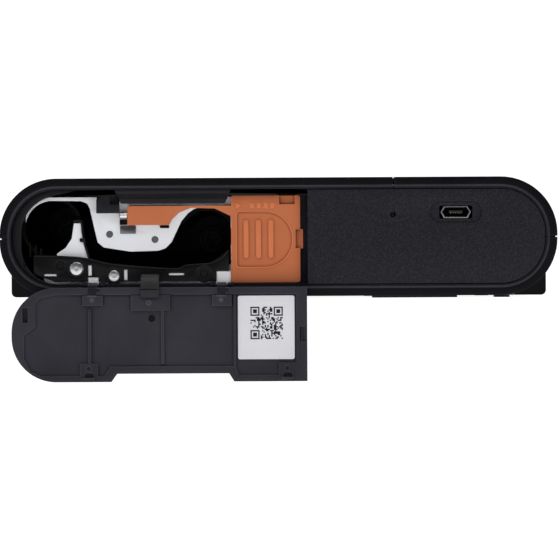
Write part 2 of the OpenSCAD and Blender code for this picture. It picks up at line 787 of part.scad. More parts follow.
module chassis_rods() color("#b4b6b9") {
    for (p = rod_ps) {
        bar(p, rod_d, plate_y1, far_plate_y0);
    }
}

module chassis_screws() color("#7e8083") {
    for (p = rod_ps) {
        translate([p[0], plate_y0, p[1]]) rotate([90, 0, 0]) cylinder(d = rod_head_d, h = 0.3);
        translate([p[0], far_plate_y1, p[1]]) rotate([-90, 0, 0]) cylinder(d = 3.4, h = 1);
    }
}

// Bearing carriers, one before each plate
module carrier_outline() {
    polygon([[dx - 63.1, 11.3], [dx - 49.7, 10.6], [dx - 43.3, 9.1], [dx - 29.2, 7.9], [dx - 25.3, 7.9],
        [dx - 24.1, 8.7], [dx - 17.6, 9.2], [dx - 13, 12.4], [dx - 12.6, 4.4], [dx - 57.6, 4.4],
        [dx - 63.1, 6.6]]);
}

module bearing_carrier() color("#1c1d1f") {
    slab(slider_y0 + 0.2, plate_y0) difference() {
        carrier_outline();
        at(platen) circle(d = platen_shaft_d + 2 * run_fit);
        at(capstan) circle(d = capstan_shaft_d + 2 * run_fit);
        for (p = [[dx - 49.1, 6], [dx - 39.9, 4.8]]) {
            translate(p) square([1, 2.8]);
        }
        translate([dx - 60.5, 5.9]) square([3.3, 0.7]);
        translate([dx - 28.4, 6]) square([4.1, 0.7]);
        translate([dx - 16, 4]) square([4, 3.2]);
        translate([dx - 49.2, 3]) square([2.9, 2.7]);
    }
}

module rear_bearing_carrier() color("#1c1d1f") {
    slab(far_plate_y0 - 2, far_plate_y0) difference() {
        intersection() {
            carrier_outline();
            translate([dx - 64, 0]) square([51, 7.8 + foot_h]);
        }
        at(platen) circle(d = platen_shaft_d + 2 * run_fit);
        at(capstan) circle(d = capstan_shaft_d + 2 * run_fit);
    }
}

// Troughs that the cartridge slides into
hub_shaft_d = 3;
bay_y1 = near + bay_depth;

module ring_part(c, d, poly) {
    difference() {
        at(c) circle(d = d + 2 * trough_t, $fn = 96);
        at(c) circle(d = d, $fn = 96);
        polygon(poly);
    }
}

module supply_trough() color("#111214") {
    slab(plate_y1, bay_y1) ring_part(supply, supply_d + 0.2,
        [supply, supply + [4, -12], supply + [12, -12], supply + [12, 5.5]]);
}

module takeup_trough() color("#111214") {
    slab(plate_y1, bay_y1) ring_part(takeup, takeup_d + 0.2,
        [takeup, takeup + [-12, 6.5], takeup + [-12, -12], takeup + [-3, -12]]);
}

// Hub with a hollow nose, three keys and a shaft through the rear plate
module hub(p) {
    bar(p, hub_d, bay_y1 - 6, bay_y1);
    slab(bay_y1 - 12, bay_y1 - 6) at(p) {
        difference() {
            circle(d = hub_d - 2);
            circle(d = hub_d - 3.6);
        }
        for (a = [0:120:240]) {
            rotate(a) translate([hub_d / 2 - 1.4, -0.4]) square([0.9, 0.8]);
        }
    }
}

module supply_hub() color("#d8d8d4") {
    hub(supply);
    bar(supply, hub_shaft_d, bay_y1, far_plate_y1 + 0.7);
}

module takeup_hub() color("#d8d8d4") {
    hub(takeup);
    bar(takeup, hub_shaft_d, bay_y1, gear_b_y + gear_w + 0.2);
}

module takeup_gear() color("#e6e2d6") {
    gear(takeup_n, takeup_a, takeup, hub_shaft_d, gear_b_y, gear_w);
}

// Rollers
shaft_y0 = slider_y0 + 0.1;
roller_y = path_w / 2 + 0.5;
shaft_end = gear_b_y + gear_w + 0.2;

module platen_shaft() color("#c6c8cb") {
    bar(platen, platen_shaft_d, shaft_y0, shaft_end);
}

module platen_rubber() color("#2b2b2d") {
    slab(-roller_y, roller_y) at(platen) difference() {
        circle(d = platen_d, $fn = 96);
        circle(d = platen_shaft_d);
    }
}

module platen_gear() color("#e6e2d6") {
    gear(platen_n, platen_a, platen, platen_shaft_d, gear_b_y, gear_w);
}

module feed_shaft() color("#c6c8cb") {
    bar(capstan, capstan_shaft_d, shaft_y0, shaft_end);
    bar(capstan, capstan_d, -roller_y, roller_y);
}

module feed_gear() color("#e6e2d6") {
    gear(feed_n, feed_a, capstan, capstan_shaft_d, gear_b_y, gear_w);
}

module pinch_roller() color("#3a3a3c") {
    bar(pinch, pinch_shaft_d, plate_y1 + 1, far_plate_y1 + 0.2);
    bar(pinch, pinch_d, -roller_y, roller_y);
}

// Near bearing of the pinch roller, behind the white strut
module pinch_strut() color("#1c1d1f") {
    slab(plate_y1, plate_y1 + 2.4) difference() {
        intersection() {
            strut_outline();
            translate([dx - 55.6, 10.3]) square([7.6, 5]);
        }
        at(pinch) circle(d = pinch_shaft_d + 2 * run_fit);
    }
}

module feed_idler() color("#e6e2d6") {
    gear(feed_idler_n, feed_idler_a, feed_idler, gear_pin_d + 2 * run_fit, gear_b_y, gear_w);
}

module link_gear() color("#e6e2d6") {
    gear(link_n, link_a, link, gear_pin_d + 2 * run_fit, gear_b_y, gear_w);
}

module reduction_gear() color("#e6e2d6") {
    gear(reduction_n, reduction_a, reduction, gear_pin_d + 2 * run_fit, gear_b_y, gear_w + layer_gap);
    gear(reduction_big_n, 0, reduction, gear_pin_d + 2 * run_fit, gear_a_y, gear_w);
}

module gear_pins() color("#b4b6b9") {
    for (p = [feed_idler, link]) {
        bar(p, gear_pin_d, far_plate_y1, gear_b_y + gear_w + 0.3);
    }
    for (p = [reduction, pickup_idler]) {
        bar(p, gear_pin_d, far_plate_y1, rear_panel_y0);
    }
}

module motor() color("#a7a9ac") {
    difference() {
        union() {
            bar(motor_c, motor_d, far_plate_y0 - motor_l, far_plate_y0);
            bar(motor_c, 4.6, far_plate_y0, far_plate_y1);
        }
        bar(motor_c, motor_shaft_d + 2 * run_fit, far_plate_y0 - motor_l + 2, far_plate_y1 + 1);
    }
}

motor_shaft_d = 1.5;

module motor_pinion() color("#c9a55a") {
    gear(pinion_n, pinion_a, motor_c, motor_shaft_d, gear_a_y, gear_w);
    bar(motor_c, motor_shaft_d, far_plate_y0 - motor_l + 2.2, gear_a_y + gear_w + 0.3);
}

module pickup_idler() color("#e6e2d6") {
    gear(pickup_idler_n, pickup_idler_a, pickup_idler, gear_pin_d + 2 * run_fit, gear_a_y, gear_w);
}

module pickup_shaft() color("#c6c8cb") {
    bar(pickup, pickup_shaft_d, plate_y0, gear_a_y + gear_w + 0.3);
}

tyre_ys = [-22, 10];
tyre_w = 12;

module pickup_tyres() color("#2b2b2d") {
    for (y = tyre_ys) {
        slab(y, y + tyre_w) at(pickup) difference() {
            circle(d = pickup_d, $fn = 96);
            circle(d = pickup_shaft_d);
        }
    }
}

module pickup_gear() color("#e6e2d6") {
    gear(pickup_n, pickup_a, pickup, pickup_shaft_d, gear_a_y, gear_w);
}

// Print head, held up while the door is open
arm_t = 1.2;
arm_ys = [plate_y1 + 0.5, far_plate_y0 - 2.5 - arm_t];
head_x0 = dx - 46.2;
head_x1 = dx - 34;
head_z = 14.3;

module arm_outline() {
    difference() {
        union() {
            at(head_c) circle(d = head_pivot_d + 2.6);
            polygon([[head_x0, head_z], [head_x0, 19.6], [dx - 39, 21.6], head_c + [0, 2.4],
                head_c - [0, 2.4], [dx - 36, head_z]]);
        }
        at(head_c) circle(d = head_pivot_d + 2 * run_fit);
    }
}

module head_arm() color("#9c9ea1") {
    for (y = arm_ys) {
        slab(y, y + arm_t) arm_outline();
    }
    box(head_x0, arm_ys[0], 18.6, head_x1, arm_ys[1] + arm_t, 19.6);
}

module head_heatsink() color("#bfc1c4") {
    y0 = arm_ys[0] + arm_t;
    y1 = arm_ys[1];
    box(head_x0 + 0.2, y0, head_z + 1.4, head_x1, y1, head_z + 2.6);
    for (i = [0:4]) {
        x = head_x0 + 0.2 + i * 2.7;
        box(x, y0, head_z + 2.6, x + 1, y1, 18.6);
    }
}

module head_element() color("#efeae0") {
    slab(arm_ys[0] + arm_t, arm_ys[1]) {
        translate([head_x0 + 0.4, head_z + 0.4]) square([head_x1 - head_x0 - 1, 1]);
        at([platen[0], head_z + 0.5]) circle(d = 1.8);
    }
}

module head_pivot() color("#c6c8cb") {
    bar(head_c, head_pivot_d, plate_y1, far_plate_y1);
}

// Paper tray under the lid
module paper_tray() color("#2a2b2e") difference() {
    union() {
        box(tray_x0, plate_y1, tray_floor - tray_t, tray_x1, far_plate_y0, tray_floor);
        for (y = [-path_w / 2 - 1.2, path_w / 2]) {
            box(tray_x0, y, tray_floor, tray_x1, y + 1.2, tray_floor + 1.3);
        }
        for (y = [-lid_y1 - 0.6, lid_y1 - 2]) {
            box(tray_x0, y, tray_floor, tray_x1 - 6, y + 1.4, lid_z0 - 1.1);
        }
    }
    for (y = tyre_ys) {
        box(pickup[0] - 3.6, y - 0.8, tray_floor - 2, pickup[0] + 3.6, y + tyre_w + 0.8, tray_floor + 1);
    }
}

// Guides that turn the paper down behind the tray and lead it along the floor
chute_r = (tray_floor + 1 - slot_z) / 2;
chute_c = [rx + 23.6, slot_z + chute_r];
chute_t = 0.8;
guide_x1 = right - 9;

module chute_arc(a0, a1) {
    intersection() {
        at(chute_c) difference() {
            circle(r = chute_r + chute_t, $fn = 96);
            circle(r = chute_r, $fn = 96);
        }
        polygon([chute_c, chute_c + polar(30, a0), chute_c + polar(40, (a0 + a1) / 2), chute_c + polar(30, a1)]);
    }
}

module paper_chute() color("#232427") {
    slab(-path_w / 2 - 1, path_w / 2 + 1) chute_arc(-58, 68);
    for (y = [-path_w / 2 - 1, path_w / 2]) {
        slab(y, y + 1) chute_arc(-88, -58);
        box(chute_c[0], y, slot_z, guide_x1, y + 1, slot_z + slot_h + 0.7);
    }
    box(dx - 11, -path_w / 2 - 1, slot_z - chute_t, guide_x1, path_w / 2 + 1, slot_z);
    box(rx + 30.4, -path_w / 2 - 1, slot_z + slot_h, guide_x1, path_w / 2 + 1, slot_z + slot_h + 0.7);
}

// Paper lid
module paper_lid() color("#26272a") difference() {
    union() {
        box(lid_axis[0], -lid_y1, lid_z0, lid_x1, lid_y1, top);
        bar(lid_axis, 2 * lid_barrel_r, -lid_y1, lid_y1);
    }
    for (side = [-1, 1]) {
        bar(lid_axis, lid_pin_d + 2 * run_fit, side * (lid_y1 - 1.6) - 1.7, side * (lid_y1 - 1.6) + 1.7);
    }
    box(lid_x1 - 1.2, -9, top - 0.8, lid_x1 + 1, 9, top + 1);
}

module lid_hinge_pins() color("#b4b6b9") {
    for (side = [-1, 1]) {
        y = side * (lid_y1 + lid_gap + ear_l - 2.9);
        bar(lid_axis, lid_pin_d, y - 2.9, y + 2.9);
    }
}

module pressure_plate() color("#c2c4c7") {
    box(lid_x0 + 16, -18, lid_z0 - 1, lid_x1 - 4, 18, lid_z0 - 0.6);
    for (x = [lid_x0 + 18, lid_x0 + 42]) {
        box(x, -12, lid_z0 - 0.6, x + 5, 12, lid_z0);
    }
}

// Slot flaps
module flap() {
    slab(-flap_l / 2, flap_l / 2) {
        translate([flap_x - flap_t / 2, slot_z - 0.7]) square([flap_t, flap_z - slot_z + 0.7]);
        at([flap_x, flap_z]) circle(d = flap_barrel_d);
    }
    bar([flap_x, flap_z], flap_pin_d, -flap_l / 2 - 1.4, flap_l / 2 + 1.4);
}

module exit_flap() color("#303135") {
    mirror([1, 0, 0]) flap();
}

module rear_flap() color("#303135") {
    flap();
}

// Electronics
board_top = board_z + board_t;

module main_board() color("#1f5a3c") difference() {
    union() {
        box(board_x0, -board_y1, board_z, board_x1, board_y1, board_top);
        box(reset_p[0] - 2.8, -board_y1 - 2.4, board_z, board_x0 + 4, -path_w / 2 - 1.6, board_top);
    }
    for (p = board_posts) {
        post(p, 1.6, board_z - 1, board_top + 1);
    }
}

chips = [[3, 14, 10, 10, 1.2], [3, -14, 9, 9, 1.2], [16, 20, 6, 12, 1.8], [18, -30, 7, 7, 3.2],
    [6, 30, 8, 5, 2.6], [17, 2, 5, 5, 3.4], [4, -1, 5, 4, 1], [20, -8, 4, 6, 1.4]];

module board_parts() color("#3b3c40") {
    for (c = chips) {
        box(board_x0 + c[0], c[1], board_top, board_x0 + c[0] + c[2], c[1] + c[3], board_top + c[4]);
    }
    difference() {
        box(reset_p[0] - 2.2, near + 6.5, board_top, reset_p[0] + 2.2, near + 8.7, board_top + 1.8);
        bar(reset_p, 1.2 + 2 * run_fit, near + 6, near + 8);
    }
    translate([light_p[0], light_p[1], board_top]) cylinder(d = 1.7, h = top - board_top - 0.1);
    for (y = [-24, 26]) {
        translate([board_x1 - 4.5, y, board_top]) cylinder(d = 5, h = 5);
    }
}

module usb_socket() color("#c8cacd") {
    slab(near + 1.2, near + 9.6) at([usb_p[0], board_top + 1.4]) difference() {
        rounded(-3.75, -1.4, 3.75, 1.4, 0.4);
        rounded(-3.4, -1.05, 3.4, 1.05, 0.3);
    }
    slab(near + 8.6, near + 9.6) at([usb_p[0], board_top + 1.4]) rounded(-3.5, -1.2, 3.5, 1.2, 0.3);
    slab(near + 2, near + 8.7) at([usb_p[0], board_top + 1.4]) rounded(-2, -0.3, 2, 0.3, 0.1);
}

module battery() color("#5a6d80") {
    slab(-33, 33) rounded(rx + 38.6, slot_z + slot_h + 0.7, rx + 64.2, slot_z + slot_h + 0.7 + battery_t, 2);
}

module power_button() color("#17181a") {
    post(button_p, button_d, top - 0.8, top + 0.2);
    post(button_p, button_d - 2, top - wall - 0.3, top - 0.7);
    post(button_p, button_d + 2, top - wall - 1.1, top - wall - 0.2);
    post(button_p, 3, board_top + 4.4, top - wall - 1);
}

module reset_button() color("#e6e2d6") {
    bar(reset_p, 1.2, near + 5.4, near + 7.4);
}

lower_shell();
upper_shell();
front_shell();
side_panel();
rear_panel();
bay_frame();
grip_panel();
rubber_feet();
case_screws();
cartridge_door();
door_hinge_pins();
door_label();
door_strap();
eject_slider();
eject_spring();
chassis_plate();
rear_chassis_plate();
chassis_rods();
chassis_screws();
bearing_carrier();
rear_bearing_carrier();
supply_trough();
takeup_trough();
supply_hub();
takeup_hub();
takeup_gear();
platen_shaft();
platen_rubber();
platen_gear();
feed_shaft();
feed_gear();
pinch_roller();
pinch_strut();
feed_idler();
link_gear();
reduction_gear();
motor();
motor_pinion();
pickup_idler();
pickup_shaft();
pickup_tyres();
pickup_gear();
gear_pins();
head_arm();
head_heatsink();
head_element();
head_pivot();
paper_tray();
paper_chute();
paper_lid();
lid_hinge_pins();
pressure_plate();
usb_socket();
exit_flap();
rear_flap();
main_board();
board_parts();
battery();
power_button();
reset_button();
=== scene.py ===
import bpy
import bmesh
import json
import math
import random
from mathutils import Matrix, Vector


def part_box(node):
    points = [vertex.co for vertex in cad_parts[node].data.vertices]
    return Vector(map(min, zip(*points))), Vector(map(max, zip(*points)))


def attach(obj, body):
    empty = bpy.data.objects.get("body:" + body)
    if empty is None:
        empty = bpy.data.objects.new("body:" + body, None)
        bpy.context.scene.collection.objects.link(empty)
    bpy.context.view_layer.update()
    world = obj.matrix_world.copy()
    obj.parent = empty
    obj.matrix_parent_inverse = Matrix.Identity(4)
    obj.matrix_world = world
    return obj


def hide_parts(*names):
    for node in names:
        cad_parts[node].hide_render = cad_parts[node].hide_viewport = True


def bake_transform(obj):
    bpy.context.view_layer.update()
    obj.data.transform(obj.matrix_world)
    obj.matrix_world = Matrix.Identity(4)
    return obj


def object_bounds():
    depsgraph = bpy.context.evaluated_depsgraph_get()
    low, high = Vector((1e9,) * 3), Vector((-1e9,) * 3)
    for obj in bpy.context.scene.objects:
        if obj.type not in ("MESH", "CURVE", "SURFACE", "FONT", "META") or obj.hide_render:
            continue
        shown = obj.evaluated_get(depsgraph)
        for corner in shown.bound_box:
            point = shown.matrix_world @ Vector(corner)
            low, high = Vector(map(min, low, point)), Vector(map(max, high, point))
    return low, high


# Pocket ribbon printer with its cartridge door hanging open, on a pale studio sweep.
# Meshes are drawn in millimetres and scaled once, in putPiece.

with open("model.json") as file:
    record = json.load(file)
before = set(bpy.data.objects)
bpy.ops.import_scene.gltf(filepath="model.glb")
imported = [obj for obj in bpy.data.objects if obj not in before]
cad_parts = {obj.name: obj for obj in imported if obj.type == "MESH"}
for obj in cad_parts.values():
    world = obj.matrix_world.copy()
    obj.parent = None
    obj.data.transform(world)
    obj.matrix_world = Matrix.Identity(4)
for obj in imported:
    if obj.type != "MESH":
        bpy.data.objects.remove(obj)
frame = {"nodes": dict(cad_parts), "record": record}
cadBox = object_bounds()
scene = bpy.context.scene
mm = 0.001


def boxOf(*nodes):  # lowest and highest corner of some nodes, in millimetres
    boxes = [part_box(n) for n in nodes]
    lo = Vector([min(b[0][i] for b in boxes) for i in range(3)]) / mm
    hi = Vector([max(b[1][i] for b in boxes) for i in range(3)]) / mm
    return lo, hi


# camera, light and stage

cameraSetup = {
    "aim": (0.33, 0.0, 4.67),
    "distance": 900.0,  # from the side face
    "viewWidth": 143.8,  # across the view at that face
    "sensor": 36.0,
    "roll": 0.3,
}


def addCamera():
    side = boxOf("side_panel")[0].y
    cam = bpy.data.cameras.new("camera")
    cam.sensor_width = cameraSetup["sensor"]
    cam.lens = cameraSetup["sensor"] * cameraSetup["distance"] / cameraSetup["viewWidth"]
    cam.clip_start = 0.05
    obj = bpy.data.objects.new("camera", cam)
    x, _, z = cameraSetup["aim"]
    obj.location = (x * mm, (side - cameraSetup["distance"]) * mm, z * mm)
    obj.rotation_euler = (math.radians(90), math.radians(cameraSetup["roll"]), 0)
    scene.collection.objects.link(obj)
    scene.camera = obj


lightSetup = {
    "topSoftbox": {"at": (0.0, 0.05, 0.85), "size": (1.0, 0.7), "power": 8.6},
    "frontLeft": {"at": (-0.85, -0.75, 0.55), "size": (0.35, 0.6), "power": 3.0},
    "frontRight": {"at": (0.85, -0.80, 0.50), "size": (0.35, 0.6), "power": 2.1},
    "frontHigh": {"at": (0.0, -0.80, 0.95), "size": (0.8, 0.3), "power": 2.7},
    "backKick": {"at": (0.3, 0.55, 0.45), "size": (0.6, 0.3), "power": 1.0},
}
worldStrength = 0.03


def addLights():
    for name, spec in lightSetup.items():
        data = bpy.data.lights.new(name, "AREA")
        data.shape = "RECTANGLE"
        data.size, data.size_y = spec["size"]
        data.energy = spec["power"]
        obj = bpy.data.objects.new(name, data)
        obj.location = spec["at"]
        obj.rotation_euler = (-Vector(spec["at"])).to_track_quat("-Z", "Y").to_euler()
        scene.collection.objects.link(obj)
    world = bpy.data.worlds.new("studio")
    world.use_nodes = True
    world.node_tree.nodes["Background"].inputs["Color"].default_value = (1, 1, 1, 1)
    world.node_tree.nodes["Background"].inputs["Strength"].default_value = worldStrength
    scene.world = world
    scene.view_settings.view_transform = "Standard"


stageSetup = {
    "floorDrop": 1.5,  # below the door's free edge
    "plinthInset": 1.6,
    "plinthHalf": 74.0,
    "sweepRadius": 450.0,
    "front": 1600.0,
    "depth": 1350.0,
    "half": 2000.0,
    "height": 2400.0,
    "glow": 0.93,
}


def paleMaterial(name, glow):
    mat = bpy.data.materials.new(name)
    mat.use_nodes = True
    shader = mat.node_tree.nodes["Principled BSDF"]
    shader.inputs["Base Color"].default_value = (0.3, 0.3, 0.3, 1)
    shader.inputs["Roughness"].default_value = 0.9
    shader.inputs["Specular IOR Level"].default_value = 0.1
    shader.inputs["Emission Color"].default_value = (1, 1, 1, 1)
    shader.inputs["Emission Strength"].default_value = glow
    return mat


def addStage():
    s = stageSetup
    floorZ = cadBox[0][2] - s["floorDrop"] * mm
    half, depth, r = s["half"] * mm, s["depth"] * mm, s["sweepRadius"] * mm
    profile = [(-s["front"] * mm, floorZ)]
    for i in range(17):
        a = math.radians(i * 90 / 16)
        profile.append((depth - r + r * math.sin(a), floorZ + r - r * math.cos(a)))
    profile.append((depth, floorZ + s["height"] * mm))
    mesh = bpy.data.meshes.new("sweep")
    faces = [(2 * i, 2 * i + 1, 2 * i + 3, 2 * i + 2) for i in range(len(profile) - 1)]
    mesh.from_pydata([(x, y, z) for y, z in profile for x in (-half, half)], [], faces)
    mesh.polygons.foreach_set("use_smooth", [True] * len(faces))
    mesh.materials.append(paleMaterial("paleSweep", s["glow"]))
    sweep = bpy.data.objects.new("sweep", mesh)
    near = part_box("lower_shell")[0].y
    bm = bmesh.new()
    bmesh.ops.create_cube(bm, size=1)
    y0, y1 = near + s["plinthInset"] * mm, -near
    for v in bm.verts:
        v.co = (v.co.x * 2 * s["plinthHalf"] * mm, y0 + (v.co.y + 0.5) * (y1 - y0), floorZ * (0.5 - v.co.z))
    bmesh.ops.bevel(bm, geom=bm.edges[:], offset=0.6 * mm, segments=2, affect="EDGES")
    block = bpy.data.meshes.new("plinth")
    bm.to_mesh(block)
    bm.free()
    block.materials.append(paleMaterial("palePlinth", s["glow"]))
    plinth = bpy.data.objects.new("plinth", block)
    for obj in (sweep, plinth):
        scene.collection.objects.link(obj)


addCamera()
addLights()
addStage()
print("camera, lights and stage ready")


# finishes: every one reads Object coordinates

def newFinish(name):
    mat = bpy.data.materials.new(name)
    mat.use_nodes = True
    tree = mat.node_tree
    coords = tree.nodes.new("ShaderNodeTexCoord")
    return mat, tree, tree.nodes["Principled BSDF"], coords


def noiseFrom(tree, coords, scale, detail=3.0, rough=0.55, stretch=(1, 1, 1)):
    mapping = tree.nodes.new("ShaderNodeMapping")
    mapping.inputs["Scale"].default_value = stretch
    tree.links.new(coords.outputs["Object"], mapping.inputs["Vector"])
    noise = tree.nodes.new("ShaderNodeTexNoise")
    noise.inputs["Scale"].default_value = scale
    noise.inputs["Detail"].default_value = detail
    noise.inputs["Roughness"].default_value = rough
    tree.links.new(mapping.outputs["Vector"], noise.inputs["Vector"])
    return noise.outputs["Fac"]


def spread(tree, value, low, high, inLow=0.3, inHigh=0.7):
    node = tree.nodes.new("ShaderNodeMapRange")
    node.inputs["From Min"].default_value = inLow
    node.inputs["From Max"].default_value = inHigh
    node.inputs["To Min"].default_value = low
    node.inputs["To Max"].default_value = high
    tree.links.new(value, node.inputs["Value"])
    return node.outputs["Result"]


def mixColours(tree, factor, a, b):
    node = tree.nodes.new("ShaderNodeMix")
    node.data_type = "RGBA"
    node.inputs["A"].default_value = (*a, 1)
    node.inputs["B"].default_value = (*b, 1)
    tree.links.new(factor, node.inputs["Factor"])
    return node.outputs["Result"]


def addBump(tree, shader, height, depth, strength=1.0):
    bump = tree.nodes.new("ShaderNodeBump")
    bump.inputs["Strength"].default_value = strength
    bump.inputs["Distance"].default_value = depth * mm
    tree.links.new(height, bump.inputs["Height"])
    tree.links.new(bump.outputs["Normal"], shader.inputs["Normal"])


def tinted(colour, k, lift=0.0):
    return tuple(min(1, c * k + lift) for c in colour)


def paintedShadeAndHighlight(tree, colour, cornerShade=0.3, edgeHighlight=1.5, reach=0.8):  # painted shade darkens corners and recesses, painted highlight brightens edges
    inner = tree.nodes.new("ShaderNodeAmbientOcclusion")
    inner.samples = 6
    inner.inputs["Distance"].default_value = reach * mm
    edge = tree.nodes.new("ShaderNodeAmbientOcclusion")
    edge.samples = 6
    edge.inside = True
    edge.inputs["Distance"].default_value = 0.25 * mm
    shade = spread(tree, inner.outputs["AO"], cornerShade, 1.0, 0.35, 0.92)
    bright = spread(tree, edge.outputs["AO"], edgeHighlight, 1.0, 0.55, 0.95)
    both = tree.nodes.new("ShaderNodeMath")
    both.operation = "MULTIPLY"
    tree.links.new(shade, both.inputs[0])
    tree.links.new(bright, both.inputs[1])
    scale = tree.nodes.new("ShaderNodeVectorMath")
    scale.operation = "SCALE"
    tree.links.new(colour, scale.inputs[0])
    tree.links.new(both.outputs["Value"], scale.inputs["Scale"])
    return scale.outputs["Vector"]


def mouldedFinish(name, colour, rough=0.42, grain=5200, depth=0.010, dust=0.25, spec=0.18, edgeHighlight=1.5):
    mat, tree, shader, coords = newFinish(name)
    cloud = noiseFrom(tree, coords, 60, 4)
    worn, dusty = tinted(colour, 1 - dust / 2), tinted(colour, 1 + dust)
    shade = mixColours(tree, spread(tree, cloud, 0, 1), worn, dusty)
    # base colour carries painted shade in corners and a painted highlight on edges
    tree.links.new(paintedShadeAndHighlight(tree, shade, edgeHighlight=edgeHighlight), shader.inputs["Base Color"])
    handled = noiseFrom(tree, coords, 300, 3)
    tree.links.new(spread(tree, handled, rough - 0.05, rough + 0.06), shader.inputs["Roughness"])
    shader.inputs["Specular IOR Level"].default_value = spec
    addBump(tree, shader, noiseFrom(tree, coords, grain, 2, 0.5), depth)
    return mat


def sparkFinish(name, colour, rough=0.55, cell=1900, depth=0.035, dust=0.22, spec=0.2):
    mat, tree, shader, coords = newFinish(name)  # spark-eroded texture with pale flecks
    cells = tree.nodes.new("ShaderNodeTexVoronoi")
    cells.inputs["Scale"].default_value = cell
    tree.links.new(coords.outputs["Object"], cells.inputs["Vector"])
    flecks = spread(tree, noiseFrom(tree, coords, cell * 0.8, 2), 0, 1.0, 0.46, 0.66)
    cloud = noiseFrom(tree, coords, 45, 5)
    both = tree.nodes.new("ShaderNodeMath")
    both.operation = "MULTIPLY_ADD"
    both.inputs[1].default_value = 0.22
    tree.links.new(cloud, both.inputs[0])
    tree.links.new(flecks, both.inputs[2])
    dark, pale = tinted(colour, 1 - dust), tinted(colour, 1 + dust * 2.4)
    shade = mixColours(tree, both.outputs["Value"], dark, pale)
    # base colour carries painted shade in corners and a painted highlight on edges
    tree.links.new(paintedShadeAndHighlight(tree, shade), shader.inputs["Base Color"])
    tree.links.new(spread(tree, cloud, rough - 0.05, rough + 0.05), shader.inputs["Roughness"])
    shader.inputs["Specular IOR Level"].default_value = spec
    addBump(tree, shader, cells.outputs["Distance"], depth)
    return mat


def metalFinish(name, colour, rough=0.28, stretch=(1, 40, 1), grain=900, depth=0.004):
    mat, tree, shader, coords = newFinish(name)
    lines = noiseFrom(tree, coords, grain, 4, 0.6, stretch)
    cloud = noiseFrom(tree, coords, 120, 3)
    shade = mixColours(tree, spread(tree, cloud, 0, 1), tinted(colour, 0.82), colour)
    tree.links.new(shade, shader.inputs["Base Color"])
    tree.links.new(spread(tree, lines, rough - 0.08, rough + 0.1), shader.inputs["Roughness"])
    shader.inputs["Metallic"].default_value = 1.0
    addBump(tree, shader, lines, depth)
    return mat


def coatedFinish(name, colour, rough=0.35, peel=1400, depth=0.008):
    mat, tree, shader, coords = newFinish(name)
    cloud = noiseFrom(tree, coords, 90, 4)
    shade = mixColours(tree, spread(tree, cloud, 0, 1), tinted(colour, 0.94), colour)
    tree.links.new(shade, shader.inputs["Base Color"])
    tree.links.new(spread(tree, cloud, rough - 0.05, rough + 0.08), shader.inputs["Roughness"])
    addBump(tree, shader, noiseFrom(tree, coords, peel, 2), depth)
    return mat


def rubberFinish(name, colour, rough=0.75):
    mat, tree, shader, coords = newFinish(name)
    cloud = noiseFrom(tree, coords, 150, 4)
    shade = mixColours(tree, spread(tree, cloud, 0, 1), colour, tinted(colour, 1.5, 0.003))
    tree.links.new(shade, shader.inputs["Base Color"])
    fine = noiseFrom(tree, coords, 3200, 3)
    tree.links.new(spread(tree, fine, rough - 0.08, rough + 0.08), shader.inputs["Roughness"])
    shader.inputs["Specular IOR Level"].default_value = 0.3
    addBump(tree, shader, fine, 0.02)
    return mat
